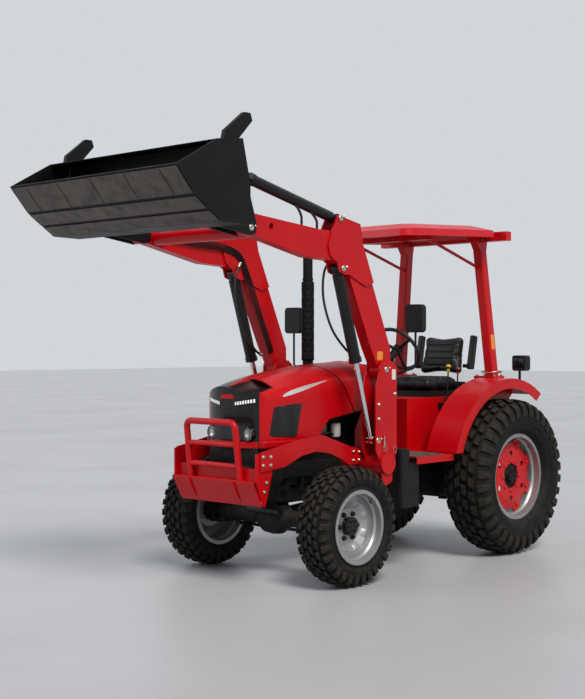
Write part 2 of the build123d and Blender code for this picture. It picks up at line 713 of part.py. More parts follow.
def levers():
    """Small hand levers beside the seat."""
    left = block(300, FENDER_IN_X, -400, -200, 1120, 1150)
    for x, y, h in ((335, -330, 1420), (375, -260, 1400)):
        left = left + bar((x, y, 1140), (x, y + 20, h), 6) + Pos(x, y + 20, h) * Sphere(18)
    right = block(-FENDER_IN_X, -300, -400, -200, 1120, 1150)
    right = right + bar((-345, -300, 1140), (-345, -280, 1400), 6)
    right = right + Pos(-345, -280, 1400) * Sphere(18)
    return Compound(children=list(left.solids()) + list(right.solids()))


# Rear hitch

def lift_arms():
    """Rockshaft with its two lift arms."""
    shaft = cross(SHAFT, -240, 240, SHAFT_R)
    arm = slab([(190, 815), (250, 815), (ARM_TIP[0] + 20, 880), (ARM_TIP[0] + 20, 920),
                (200, 890)], 212, 234)
    pin = cross(ARM_TIP, 212, 264, 9)
    return shaft + pair_fused(arm + pin)


def lower_links():
    """Two lower links with ball eyes at their ends."""
    link = bar((254, *LINK_PIN), (330, *BALL), 17)
    eye = cross(BALL, 312, 348, 30)
    foot = cross(LINK_PIN, 238, 270, 28)
    one = link + eye + foot - cross(BALL, 310, 350, BALL_BORE_R)
    return both(one - cross(LINK_PIN, 230, 280, LINK_PIN_R + RUN_FIT))


def hitch_rods():
    """Lift rods from the lift arms down to the lower links."""
    rod = bar((251, ARM_TIP[0], ARM_TIP[1]), (268, 466, 520), 11)
    eye = cross(ARM_TIP, 240, 262, 20)
    return both(rod + eye - cross(ARM_TIP, 230, 270, 9 + RUN_FIT))


def drawbar():
    """Swinging drawbar with its hitch hole, under the rear axle."""
    bar_ = block(-35, 35, 60, 560, 350, 375)
    hanger = block(-60, 60, 60, 160, 375, 400)
    hole = Pos(0, 520, 362) * Cylinder(15, 60)
    return bar_ + hanger - hole


def write(name, shape):
    """Move a piece from the rear axle's frame to the part's own and save it."""
    placed = Pos(0, SHIFT_Y, 0) * shape
    export_step(Compound(children=list(placed.solids())), f"parts/{name}.step")


def main():
    """Build every node and write it."""
    os.makedirs("parts", exist_ok=True)
    rear_tyre = tyre(REAR_TYRE_D, REAR_TYRE_W, REAR_FLANGE_R, 125, REAR_LUGS)
    front_tyre = tyre(FRONT_TYRE_D, FRONT_TYRE_W, FRONT_FLANGE_R, 115, FRONT_LUGS)
    rear_rim = rim(REAR_FLANGE_R, 125)
    front_rim = rim(FRONT_FLANGE_R, 115) + front_disc()
    disc = rear_disc()
    front_hub = hub_front()
    rear_hub = hub_rear()
    for side, name in ((1, "left"), (-1, "right")):
        rear = (side, REAR_HALF_TRACK, 0, REAR_Z)
        front = (side, FRONT_HALF_TRACK, -WHEELBASE, FRONT_Z)
        write(f"tyre_rear_{name}", wheel_at(rear_tyre, *rear))
        write(f"rim_rear_{name}", wheel_at(rear_rim, *rear))
        write(f"disc_rear_{name}", wheel_at(disc, *rear))
        write(f"tyre_front_{name}", wheel_at(front_tyre, *front))
        write(f"rim_front_{name}", wheel_at(front_rim, *front))
        write(f"hub_front_{name}", wheel_at(front_hub, *front))
        write(f"hub_rear_{name}", wheel_at(rear_hub, *rear))
        write(f"knuckle_{name}", knuckle() if side > 0 else flip(knuckle()))
        write(f"fender_{name}", fender() if side > 0 else flip(fender()))
    write("front_axle", front_axle())
    write("tie_rod", tie_rod())
    write("transmission", transmission())
    write("front_frame", front_frame())
    write("engine_block", engine_block())
    write("boom", boom())
    write("lift_barrels", both(cylinder_barrel(LIFT_TOP_PIN, LIFT_BASE_PIN, 660,
                                               LIFT_BARREL_R, 30)))
    write("lift_rods", both(cylinder_rod(LIFT_TOP_PIN, LIFT_BASE_PIN, 588, LIFT_ROD_R, 30,
                                         28)))
    write("tilt_barrels", both(cylinder_barrel(TILT_REAR_PIN, TILT_FRONT_PIN, 830,
                                               TILT_BARREL_R, 30)))
    write("tilt_rods", both(cylinder_rod(TILT_REAR_PIN, TILT_FRONT_PIN, 575, TILT_ROD_R,
                                         30, 26)))
    write("loader_masts", pair_fused(mast()))
    write("side_rails", side_rails())
    write("brush_guard", brush_guard())
    write("bucket", bucket())
    front, nose, grilles, cowl = hood_pieces()
    write("hood_shell", front)
    write("nose_panel", nose)
    write("side_grilles", grilles)
    stack = exhaust()
    write("rear_cowl", cowl - stack)
    write("bulkhead", bulkhead())
    write("exhaust_stack", stack)
    write("steering_console", console())
    write("steering_wheel", steering_wheel())
    write("platform", platform())
    write("floor_mat", floor_mat())
    write("rops_frame", rops())
    write("canopy_roof", canopy())
    pan, cushion, back = seat()
    write("seat_pan", pan)
    write("seat_cushion", cushion)
    write("seat_back", back)
    write("armrests", armrests())
    write("mirrors", mirrors())
    write("fuel_tank", fuel_tank())
    write("tail_lamps", tail_lamps())
    write("control_levers", levers())
    write("lift_arms", lift_arms())
    write("lower_links", lower_links())
    write("hitch_rods", hitch_rods())
    write("drawbar", drawbar())


if __name__ == "__main__":
    main()
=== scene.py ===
"""Looks of a compact farm tractor with a raised front loader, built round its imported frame."""

import logging
import math
from dataclasses import dataclass, field
from enum import Enum

import bmesh
import bpy
import numpy as np
from mathutils import Matrix, Vector

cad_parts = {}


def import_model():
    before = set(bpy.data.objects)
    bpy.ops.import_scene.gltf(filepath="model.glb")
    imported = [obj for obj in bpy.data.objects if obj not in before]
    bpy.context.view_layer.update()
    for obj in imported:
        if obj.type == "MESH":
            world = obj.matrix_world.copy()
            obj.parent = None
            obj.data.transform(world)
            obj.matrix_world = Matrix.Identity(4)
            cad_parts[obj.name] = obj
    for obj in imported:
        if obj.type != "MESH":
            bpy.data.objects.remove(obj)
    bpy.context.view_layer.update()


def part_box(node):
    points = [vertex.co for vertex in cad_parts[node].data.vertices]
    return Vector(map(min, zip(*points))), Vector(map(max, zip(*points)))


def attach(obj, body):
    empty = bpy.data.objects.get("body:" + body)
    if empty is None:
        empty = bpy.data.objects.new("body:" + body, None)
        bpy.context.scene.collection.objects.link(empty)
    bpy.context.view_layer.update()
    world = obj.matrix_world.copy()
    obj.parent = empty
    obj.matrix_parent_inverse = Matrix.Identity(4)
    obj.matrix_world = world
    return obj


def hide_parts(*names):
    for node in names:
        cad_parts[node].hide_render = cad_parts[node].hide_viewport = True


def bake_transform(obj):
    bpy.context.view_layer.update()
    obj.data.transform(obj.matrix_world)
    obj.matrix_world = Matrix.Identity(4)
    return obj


LOG = logging.getLogger("tractor")
SHIFT_Y = 1345.0  # the drawing's rear axle is at Y 0, the frame's at +1.345 m
TAU = 2 * math.pi
SIDES = ((1, "left"), (-1, "right"))  # the tractor's left is on +X
SIDE_NAMES = dict(SIDES)
STACK_X, STACK_Y = -250.0, -1270.0  # axis of the exhaust
HOOD_STATIONS = (-2360, -2200, -2030, -1700)
HOOD_HALF_WIDTHS = (262, 285, 298, 304)


def at(*point: float) -> np.ndarray:
    """Turns a place in the drawing's millimetres into the frame's metres."""
    x, y, z = point
    return np.array([x, y + SHIFT_Y, z]) / 1000.0


def rows(points: np.ndarray | list) -> np.ndarray:
    """Turns places in the drawing's millimetres, shape (..., 3), into the frame's metres."""
    return (np.asarray(points, float) + (0.0, SHIFT_Y, 0.0)) / 1000.0


def unit(vectors: np.ndarray) -> np.ndarray:
    """Scales vectors on the last axis to length one."""
    return vectors / np.linalg.norm(vectors, axis=-1, keepdims=True)


def xyz(x: np.ndarray | float, y: np.ndarray | float, z: np.ndarray | float) -> np.ndarray:
    """Joins coordinates, each spread over the others' shape, to points on the last axis."""
    return np.stack(np.broadcast_arrays(x, y, z), axis=-1)


def around(count: int, phase: float = 0.0) -> np.ndarray:
    """Angles spaced evenly round a circle, the first a share of one step from zero."""
    return (np.arange(count) + phase) / count * TAU


def squarish(count: int, power: float) -> np.ndarray:
    """Superellipse of half width 1: cosine and sine of each angle, raised to a power."""
    turn = around(count)
    ring = np.stack([np.cos(turn), np.sin(turn)], axis=1)
    return np.sign(ring) * np.abs(ring) ** power


def crosswise(axis: np.ndarray) -> tuple[np.ndarray, np.ndarray]:
    """Finds two unit vectors square to each axis and to one another.

    Args:
        axis: Unit vectors, shape (..., 3).

    Returns:
        The two vectors, each in the shape of axis.
    """
    helper = np.where(np.abs(axis[..., 2:3]) < 0.9, (0.0, 0.0, 1.0), (0.0, 1.0, 0.0))
    first = unit(np.cross(helper, axis))
    return first, np.cross(axis, first)


def smooth_line(points: np.ndarray, steps: int) -> np.ndarray:
    """Catmull-Rom line: each run is a cubic whose ends lean along their neighbours.

    Args:
        points: Places that the line passes through, shape (n, k).
        steps: Samples per run.

    Returns:
        The samples, shape ((n - 1) * steps + 1, k).
    """
    padded = np.vstack([2 * points[0] - points[1], points, 2 * points[-1] - points[-2]])
    before, start, end, after = padded[:-3], padded[1:-2], padded[2:-1], padded[3:]
    t = (np.arange(steps) / steps)[None, :, None]
    before, start, end, after = (p[:, None, :] for p in (before, start, end, after))
    line = 0.5 * (2 * start + (end - before) * t + (2 * before - 5 * start + 4 * end - after) * t ** 2
                  + (3 * start - before - 3 * end + after) * t ** 3)
    return np.vstack([line.reshape(-1, points.shape[1]), points[-1:]])


def spun(profile: np.ndarray, origin: np.ndarray, axis: np.ndarray, sides: int) -> np.ndarray:
    """Turned surface: each (along, radius) pair becomes a ring round the axis.

    Args:
        profile: Pairs of distance along the axis and radius in metres, shape (n, 2).
        origin: Where along is zero.
        axis: Direction of the axis.
        sides: Points on each ring.

    Returns:
        A grid of points, shape (n, sides, 3), that closes on its second side.
    """
    axis = unit(np.asarray(axis, float))
    first, second = crosswise(axis)
    turn = around(sides)
    ring = np.cos(turn)[:, None] * first + np.sin(turn)[:, None] * second
    profile = np.asarray(profile, float)
    return origin + profile[:, :1, None] * axis + profile[:, 1:, None] * ring


def tube(path: np.ndarray, radius: float | np.ndarray, sides: int = 10) -> np.ndarray:
    """Round tube along a path: a circle square to the path at each sample, ends drawn shut.

    Args:
        path: Samples of the centre line, shape (n, 3).
        radius: One radius, or one for each sample.
        sides: Points on each circle.

    Returns:
        A grid of points, shape (n + 2, sides, 3), that closes on its second side.
    """
    along = unit(np.gradient(path, axis=0))
    spread = np.abs(along).max(axis=0)
    helper = np.zeros(3)
    helper[int(np.argmin(spread))] = 1.0
    first = unit(np.cross(along, helper))
    second = np.cross(along, first)
    turn = around(sides)
    size = np.broadcast_to(np.asarray(radius, float), (len(path),))[:, None, None]
    ring = (np.cos(turn)[None, :, None] * first[:, None, :]
            + np.sin(turn)[None, :, None] * second[:, None, :])
    body = path[:, None, :] + size * ring
    ends = [np.repeat(path[k:k + 1], sides, axis=0)[None] for k in (0, len(path) - 1)]
    return np.concatenate([ends[0], body, ends[1]])


def cushion_box(low: np.ndarray, high: np.ndarray, radius: float, sides: int = 32) -> np.ndarray:
    """Rounded box: a sphere of the corner radius, its eight parts moved to the corners.

    Args:
        low: One corner.
        high: The opposite corner.
        radius: Corner radius, under half of the least side.
        sides: Points round the sphere, a multiple of four.

    Returns:
        A grid of points that closes on its second side, its poles drawn shut.
    """
    low, high = np.minimum(low, high), np.maximum(low, high)
    rise = (np.arange(sides // 2) + 0.5) / (sides // 2) * math.pi - math.pi / 2
    turn = around(sides, 0.5)
    level = np.cos(rise)[:, None]
    ball = xyz(level * np.cos(turn), level * np.sin(turn), np.sin(rise)[:, None])
    grid = (low + high) / 2 + np.sign(ball) * ((high - low) / 2 - radius) + radius * ball
    ends = [np.broadcast_to(grid[k].mean(axis=0), grid[k].shape)[None] for k in (0, -1)]
    return np.concatenate([ends[0], grid, ends[1]])


def quads(n: int, m: int, loop: bool = False) -> np.ndarray:
    """Corners of each cell of a grid: four neighbouring points.

    Args:
        n: Rows of points.
        m: Columns of points.
        loop: Whether the last column meets the first.

    Returns:
        Indices, shape (n - 1, m or m - 1, 4).
    """
    index = np.arange(n * m).reshape(n, m)
    if loop:
        index = np.hstack([index, index[:, :1]])
    return np.stack([index[:-1, :-1], index[:-1, 1:], index[1:, 1:], index[1:, :-1]], axis=-1)


@dataclass
class Shell:
    """Points and faces gathered from several grids before they become one mesh."""
    MERGE = 2e-6  # metres within which points are one
    BEVEL_ANGLE = 35  # degrees above which an edge is bevelled
    points: list[np.ndarray] = field(default_factory=list)
    faces: list[list[int]] = field(default_factory=list)
    slots: list[int] = field(default_factory=list)
    count: int = 0

    def add(self, points: np.ndarray, faces: np.ndarray | list, slot: int = 0) -> None:
        """Takes points and the faces between them.

        Args:
            points: Places, shape (n, 3).
            faces: Rows of indices into points.
            slot: Which finish the faces take.
        """
        self.points.append(points.reshape(-1, 3))
        new = [[int(i) + self.count for i in face] for face in faces]
        self.faces += new
        self.slots += [slot] * len(new)
        self.count += len(self.points[-1])

    def grid(self, points: np.ndarray, loop: bool = False, slot: int = 0,
             keep: np.ndarray | None = None) -> None:
        """Takes a grid of points: each cell between four neighbours is a face.

        Args:
            points: Shape (n, m, 3).
            loop: Whether the last column meets the first.
            slot: Which finish the faces take.
            keep: Cells that are kept, shape (n - 1, m or m - 1).
        """
        cells = quads(*points.shape[:2], loop)
        if keep is not None:
            cells = cells[keep]
        self.add(points, cells.reshape(-1, 4), slot)

    def copies(self, template: np.ndarray, faces: np.ndarray, origin: np.ndarray,
               axis: np.ndarray, slot: int = 0) -> None:
        """Takes one small shape at many places, its own Z turned to each axis.

        Args:
            template: Points of the shape, shape (n, 3).
            faces: Its faces, shape (f, 4).
            origin: Places, shape (k, 3).
            axis: Directions, shape (k, 3) or (3,).
            slot: Which finish the faces take.
        """
        origin = np.atleast_2d(origin)
        axis = unit(np.broadcast_to(np.asarray(axis, float), origin.shape))
        first, second = crosswise(axis)
        placed = (origin[:, None, :] + template[None, :, :1] * first[:, None, :]
                  + template[None, :, 1:2] * second[:, None, :]
                  + template[None, :, 2:] * axis[:, None, :])
        step = np.arange(len(origin))[:, None, None] * len(template)
        self.add(placed, (faces[None] + step).reshape(-1, faces.shape[1]), slot)

    def prism(self, outline: np.ndarray, shift: np.ndarray, slot: int = 0) -> None:
        """Takes a flat outline carried along a straight shift, closed at both ends."""
        n = len(outline)
        points = np.vstack([outline, outline + shift])
        sides = [[k, (k + 1) % n, n + (k + 1) % n, n + k] for k in range(n)]
        self.add(points, [list(range(n))[::-1], list(range(n, 2 * n))] + sides, slot)

    def build(self, name: str, body: str, *finishes: "Finish", smooth: float | None = 40.0,
              bevel: float = 0.0, closed: bool = True) -> bpy.types.Object:
        """Makes the mesh object and rides it on a body.

        Args:
            name: Name of the piece.
            body: Body that it moves with, or nothing.
            finishes: One finish for each slot.
            smooth: Edges sharper than this many degrees stay sharp, or None for flat faces.
            bevel: Width of a bevel on sharp edges in metres, or 0.
            closed: Whether faces are turned outwards; doubles are merged in any case.

        Returns:
            The object, at the origin.
        """
        mesh = bpy.data.meshes.new(name)
        mesh.from_pydata(np.vstack(self.points).tolist(), [], self.faces)
        mesh.polygons.foreach_set("material_index", np.asarray(self.slots, np.int32))
        work = bmesh.new()
        work.from_mesh(mesh)
        bmesh.ops.remove_doubles(work, verts=work.verts, dist=self.MERGE)
        bmesh.ops.dissolve_degenerate(work, dist=1e-6, edges=work.edges)
        if closed:
            bmesh.ops.recalc_face_normals(work, faces=work.faces)
        work.to_mesh(mesh)
        work.free()
        piece = bpy.data.objects.new(name, mesh)
        bpy.context.scene.collection.objects.link(piece)
        for finish in finishes:
            mesh.materials.append(finish.material())
        if smooth is not None:
            mesh.polygons.foreach_set("use_smooth", np.ones(len(mesh.polygons), bool))
            mesh.set_sharp_from_angle(angle=math.radians(smooth))
        if bevel:
            cut = piece.modifiers.new("Edges", "BEVEL")
            cut.width, cut.segments, cut.limit_method = bevel, 2, "ANGLE"
            cut.angle_limit, cut.harden_normals = math.radians(self.BEVEL_ANGLE), True
        if body:
            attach(piece, body)
        LOG.info("%s: %d faces on %s", name, len(mesh.polygons), body)
        return piece


def template_of(grid: np.ndarray) -> tuple[np.ndarray, np.ndarray]:
    """Flattens a grid that closes on its second side to points and quad faces."""
    return grid.reshape(-1, 3), quads(*grid.shape[:2], True).reshape(-1, 4)


def hex_head(across: float, height: float) -> tuple[np.ndarray, np.ndarray]:
    """Hexagon bolt head on a washer: the head's radius is the flat's over the angle's cosine.

    Args:
        across: Distance between flats in metres.
        height: Height of the head.

    Returns:
        Points and faces, the foot a little below Z 0.
    """
    turn = around(12)
    hexagon = 0.5 * across / np.cos(turn % (TAU / 6) - TAU / 12)
    washer = np.full(12, across * 0.72)
    levels = [(-0.002, 0.0 * washer), (-0.002, washer), (height * 0.2, washer),
              (height * 0.2, hexagon), (height * 0.85, hexagon), (height, hexagon * 0.84),
              (height, 0.0 * washer)]
    grid = np.array([xyz(r * np.cos(turn), r * np.sin(turn), z) for z, r in levels])
    return template_of(grid)


def skin(name: str, body: str, finish: "Finish", *grids: np.ndarray, loop: bool = True,
         **options: object) -> bpy.types.Object:
    """Builds one piece from grids of points.

    Args:
        name: Name of the piece.
        body: Body that it moves with.
        finish: Its one finish.
        grids: Grids, each of shape (n, m, 3).
        loop: Whether each grid's last column meets its first.
        options: What Shell.build takes besides.

    Returns:
        The object, at the origin.
    """
    shell = Shell()
    for grid in grids:
        shell.grid(grid, loop=loop)
    return shell.build(name, body, finish, **options)


# Finishes


def linear(code: str) -> tuple[float, float, float, float]:
    """Turns an sRGB hex colour into Blender's linear values."""
    parts = [int(code[i:i + 2], 16) / 255 for i in (0, 2, 4)]
    red, green, blue = (c / 12.92 if c <= 0.04045 else ((c + 0.055) / 1.055) ** 2.4
                        for c in parts)
    return red, green, blue, 1.0


def add(tree: bpy.types.NodeTree, kind: str, values: dict | None = None, **settings: object
        ) -> bpy.types.Node:
    """Adds a node, sets its options and fills its inputs.

    Args:
        tree: The material's nodes.
        kind: Blender's name of the node.
        values: A value or an output socket for each input.
        settings: The node's own options.

    Returns:
        The node.
    """
    node = tree.nodes.new(kind)
    for name, value in settings.items():
        setattr(node, name, value)
    for name, value in (values or {}).items():
        if isinstance(value, bpy.types.NodeSocket):
            tree.links.new(value, node.inputs[name])
        else:
            node.inputs[name].default_value = value
    return node


class Relief(Enum):
    """How a surface was made, which gives its fine relief."""
    SPRAYED = "sprayed"
    CAST = "cast"
    MOULDED = "moulded"
    GRAINED = "grained"
    BRUSHED = "brushed"
    RIBBED = "ribbed"
    PERFORATED = "perforated"
    SMOOTH = "smooth"


@dataclass(frozen=True)
class Finish:
    """One real finish: its colours, how it shines, its relief and the dust that lies on it.

    Colours are sRGB hex values. The size of every pattern is in millimetres.
    """
    name: str
    colour: str
    worn: str
    roughness: float
    metallic: float = 0.0
    coat: float = 0.0
    ior: float = 1.5
    patch: float = 180.0
    change: float = 0.25
    relief: Relief = Relief.SMOOTH
    grain: float = 2.0
    depth: float = 0.05
    dust: float = 0.0
    dust_top: float = 0.9
    dust_colour: str = "8F8579"
    glow: float = 0.0
    clear: float = 0.0

    def height(self, tree: bpy.types.NodeTree, place: bpy.types.NodeSocket
               ) -> bpy.types.NodeSocket | None:
        """Gives the relief's height from 0 to 1, by how the surface was made."""
        scale = 1000.0 / self.grain
        if self.relief is Relief.SMOOTH:
            return None
        if self.relief in (Relief.GRAINED, Relief.CAST):
            cell = add(tree, "ShaderNodeTexVoronoi", {"Vector": place, "Scale": scale})
            return cell.outputs["Distance"]
        if self.relief is Relief.BRUSHED:
            drawn = add(tree, "ShaderNodeMapping", {"Vector": place, "Scale": (1.0, 1.0, 0.03)})
            noise = add(tree, "ShaderNodeTexNoise", {"Vector": drawn.outputs[0], "Scale": scale,
                                                     "Detail": 2.0})
            return noise.outputs[0]
        if self.relief is Relief.RIBBED:
            wave = add(tree, "ShaderNodeTexWave", {"Vector": place, "Scale": scale / 3.1},
                       bands_direction="X", wave_profile="SIN")
            return wave.outputs["Fac"]
        if self.relief is Relief.PERFORATED:
            cell = add(tree, "ShaderNodeTexVoronoi", {"Vector": place, "Scale": scale,
                                                      "Randomness": 0.0})
            return add(tree, "ShaderNodeMapRange", {"Value": cell.outputs["Distance"],
                                                    "From Min": 0.28, "From Max": 0.4}).outputs[0]
        noise = add(tree, "ShaderNodeTexNoise", {"Vector": place, "Scale": scale, "Detail": 3.0})
        return noise.outputs[0]

    def material(self) -> bpy.types.Material:
        """Builds the material once and gives the same one afterwards."""
        known = bpy.data.materials.get(self.name)
        if known is not None:
            return known
        made = bpy.data.materials.new(self.name)
        made.use_nodes = True
        tree = made.node_tree
        tree.nodes.clear()
        coordinate = add(tree, "ShaderNodeTexCoord")
        place = coordinate.outputs["Object"]
        patches = add(tree, "ShaderNodeTexNoise", {"Vector": place, "Scale": 1000.0 / self.patch,
                                                   "Detail": 6.0, "Roughness": 0.62})
        amount = add(tree, "ShaderNodeMapRange", {"Value": patches.outputs[0], "From Min": 0.42,
                                                  "From Max": 0.72, "To Max": self.change})
        colour = add(tree, "ShaderNodeMix", {"Factor": amount.outputs[0]}, data_type="RGBA")
        colour.inputs[6].default_value = linear(self.colour)
        colour.inputs[7].default_value = linear(self.worn)
        shade, rough = colour.outputs[2], add(
            tree, "ShaderNodeMapRange", {"Value": patches.outputs[0], "From Min": 0.3,
                                         "From Max": 0.75, "To Min": self.roughness * 0.85,
                                         "To Max": min(1.0, self.roughness * 1.2)}).outputs[0]
        relief = self.height(tree, place)
        # Painted shade: each opening of the punched pattern is painted near black in place of the
        # dark space behind it.
        if self.relief is Relief.PERFORATED:
            hole_shade = add(tree, "ShaderNodeMix", {"Factor": relief}, data_type="RGBA")
            hole_shade.inputs[6].default_value = linear("050505")
            tree.links.new(shade, hole_shade.inputs[7])
            shade = hole_shade.outputs[2]
        if self.dust:
            split = add(tree, "ShaderNodeSeparateXYZ", {"Vector": place})
            facing = add(tree, "ShaderNodeSeparateXYZ", {"Vector": coordinate.outputs["Normal"]})
            low = add(tree, "ShaderNodeMapRange", {"Value": split.outputs[2], "From Max":
                                                   self.dust_top, "To Min": 1.0, "To Max": 0.15})
            up = add(tree, "ShaderNodeMapRange", {"Value": facing.outputs[2], "From Min": -0.2,
                                                  "From Max": 1.0, "To Min": 0.25})
            specks = add(tree, "ShaderNodeTexNoise", {"Vector": place, "Scale": 22.0,
                                                      "Detail": 8.0, "Roughness": 0.7})
            patch = add(tree, "ShaderNodeMapRange", {"Value": specks.outputs[0], "From Min": 0.38,
                                                     "From Max": 0.68, "To Max": self.dust})
            layer = add(tree, "ShaderNodeMath", {0: low.outputs[0], 1: up.outputs[0]},
                        operation="MULTIPLY")
            layer = add(tree, "ShaderNodeMath", {0: layer.outputs[0], 1: patch.outputs[0]},
                        operation="MULTIPLY")
            dusty = add(tree, "ShaderNodeMix", {"Factor": layer.outputs[0]}, data_type="RGBA")
            tree.links.new(shade, dusty.inputs[6])
            dusty.inputs[7].default_value = linear(self.dust_colour)
            shade = dusty.outputs[2]
            rough = add(tree, "ShaderNodeMath", {0: rough, 1: layer.outputs[0]},
                        operation="ADD", use_clamp=True).outputs[0]
        surface = add(tree, "ShaderNodeBsdfPrincipled", {
            "Base Color": shade, "Roughness": rough, "Metallic": self.metallic,
            "Coat Weight": self.coat, "Coat Roughness": 0.06,
            "Transmission Weight": self.clear})
        if not self.metallic:
            surface.inputs["IOR"].default_value = self.ior
        if self.glow:
            surface.inputs["Emission Color"].default_value = linear(self.colour)
            surface.inputs["Emission Strength"].default_value = self.glow
        if relief is not None:
            bump = add(tree, "ShaderNodeBump", {"Height": relief, "Strength": 0.6,
                                                "Distance": self.depth / 1000.0})
            tree.links.new(bump.outputs[0], surface.inputs["Normal"])
        add(tree, "ShaderNodeOutputMaterial", {"Surface": surface.outputs[0]})
        return made


# Sprayed alkyd enamel: deep red, glossy, a little orange peel that softens reflections.
RED = Finish("Alkyd_enamel_red", "C0000B", "A6000A", 0.36, coat=0.05, ior=1.35, patch=420,
             change=0.5, relief=Relief.SPRAYED, grain=4, depth=0.02, dust=0.07, dust_top=1.3,
             dust_colour="8A5A50")
# Glass-fibre roof in gelcoat: brighter and pinker than the steel's enamel.
ROOF_RED = Finish("Gelcoat_red", "C80016", "B80014", 0.38, coat=0.1, ior=1.4, patch=500,
                  change=0.3, relief=Relief.SPRAYED, grain=7, depth=0.03)
# Enamel on the wheel discs, without the body's gloss.
DISC_RED = Finish("Wheel_enamel_red", "C20610", "9E050C", 0.4, coat=0.1, ior=1.4, patch=60,
                  relief=Relief.SPRAYED, grain=3, depth=0.03, dust=0.08, dust_top=1.5)
# Powder coat on the rims: pale aluminium flake, soft highlights.
RIM_SILVER = Finish("Powder_coat_silver", "9FA1A3", "85878A", 0.42, metallic=0.6, patch=70,
                    change=0.5, relief=Relief.SPRAYED, grain=1.2, depth=0.02, dust=0.12,
                    dust_top=1.2)
# Thick black paint on folded plate: dull, scuffed and greyer where soil has rubbed.
BUCKET_BLACK = Finish("Plate_enamel_black", "08080A", "131314", 0.5, ior=1.3, patch=260,
                      change=0.7, relief=Relief.SPRAYED, grain=5, depth=0.05)
# Bare wear plate, hot rolled: grey-brown with a faint shine.
WEAR_STEEL = Finish("Hot_rolled_steel", "5A544F", "3B3733", 0.5, metallic=0.6, patch=90,
                    change=0.8, relief=Relief.CAST, grain=6, depth=0.08)
# Enamel on cast housings: near black, rough and dusty.
CAST_BLACK = Finish("Cast_iron_painted", "0C0C0D", "181716", 0.6, ior=1.3, patch=80, change=0.6,
                    relief=Relief.CAST, grain=5, depth=0.25, dust=0.3, dust_top=0.9)
# Semi-gloss black enamel on barrels and brackets.
BLACK = Finish("Enamel_black", "08080A", "101011", 0.34, coat=0.1, ior=1.35, patch=150,
               relief=Relief.SPRAYED, grain=3, depth=0.02, dust=0.15, dust_top=1.2)
# High-temperature paint: flat black without any shine.
STACK_BLACK = Finish("Heatproof_paint_black", "0B0B0C", "151414", 0.66, ior=1.3, patch=60,
                     change=0.6, relief=Relief.CAST, grain=3, depth=0.06)
SOOT = Finish("Soot", "030303", "080706", 0.9, patch=20)
# Moulded ABS: even black with a fine spark-eroded texture.
ABS = Finish("Moulded_plastic_black", "0B0C0E", "121315", 0.5, ior=1.35, patch=120,
             relief=Relief.MOULDED, grain=1.6, depth=0.06, dust=0.1, dust_top=1.6)
# Polished plastic of the nose and lamp surrounds.
GLOSS = Finish("Polished_plastic_black", "060708", "0A0B0C", 0.24, coat=0.15, ior=1.4, patch=200,
               relief=Relief.SPRAYED, grain=6, depth=0.01, dust=0.1, dust_top=1.4)
# Grille sheet punched with small round openings: a bump pattern, each opening painted near black as
# painted shade of the dark space behind the sheet.
MESH = Finish("Punched_sheet_black", "1B1C1D", "262625", 0.42, patch=60,
              relief=Relief.PERFORATED, grain=8, depth=0.6)
# Tyre rubber: near black, matt, with mould marks.
RUBBER = Finish("Tyre_rubber", "090909", "131211", 0.7, ior=1.3, patch=70, change=0.6,
                relief=Relief.CAST, grain=7, depth=0.12, dust=0.14, dust_top=1.3)
# Tread block tops: grey-brown over the black, partly dust and partly a painted highlight where the
# raised tops catch the light.
TREAD_DUST_AND_HIGHLIGHT = Finish("Tyre_tread_dust_and_painted_highlight", "181716", "3B362F", 0.82, ior=1.3, patch=26, change=0.8,
               relief=Relief.CAST, grain=5, depth=0.2, dust=0.3, dust_top=2.4,
               dust_colour="6A6055")
HOSE = Finish("Hose_rubber", "0B0B0C", "131313", 0.42, patch=30, relief=Relief.MOULDED,
              grain=2, depth=0.03)
# Zinc plate: pale metal with a faint yellow cast.
ZINC = Finish("Zinc_plated_steel", "B9B4A6", "8E897E", 0.32, metallic=1.0, patch=12,
              change=0.6, relief=Relief.BRUSHED, grain=0.8, depth=0.01)
# Hard chrome on the rods: mirror-like.
CHROME = Finish("Hard_chrome", "D5D6D8", "C2C3C6", 0.09, metallic=1.0, patch=60,
                relief=Relief.BRUSHED, grain=0.5, depth=0.002)
# Leather cloth on the seat: black vinyl with a pressed grain.
VINYL = Finish("Seat_vinyl", "0D0D0E", "171718", 0.44, ior=1.4, patch=60, change=0.5,
               relief=Relief.GRAINED, grain=2.2, depth=0.12)
# Soft skin foam of the wheel's ring and the lever boots.
GRIP = Finish("Skinned_foam", "0E0E0F", "161616", 0.55, patch=40, relief=Relief.GRAINED,
              grain=1.8, depth=0.06)
# Ribbed mat, walked grey.
MAT = Finish("Ribbed_rubber_mat", "3A3937", "5C5852", 0.75, patch=70, change=0.9,
             relief=Relief.RIBBED, grain=12, depth=1.5, dust=0.6, dust_top=3.0)
LENS = Finish("Lamp_lens_clear", "F2F4F5", "E4E6E8", 0.08, ior=1.49, patch=30, clear=0.85,
              relief=Relief.RIBBED, grain=5, depth=0.3)
LED = Finish("Lit_strip_white", "E8ECF0", "D2D8DE", 0.25, glow=0.35)
AMBER = Finish("Lamp_lens_amber", "F07A0E", "D9650A", 0.12, ior=1.49, patch=30, coat=0.6,
               relief=Relief.RIBBED, grain=4, depth=0.3)
TAIL_RED = Finish("Lamp_lens_red", "A80A0C", "8E0709", 0.12, ior=1.49, patch=30, coat=0.6,
                  relief=Relief.RIBBED, grain=4, depth=0.3)
MIRROR = Finish("Silvered_glass", "E6E9EB", "DDE0E2", 0.03, metallic=1.0, patch=90)
DIAL = Finish("Printed_dial", "D9D9D4", "C9C9C2", 0.35, patch=30)
LABEL_ORANGE = Finish("Printed_film_orange", "E58A12", "D47C0E", 0.35, coat=0.4, patch=20)
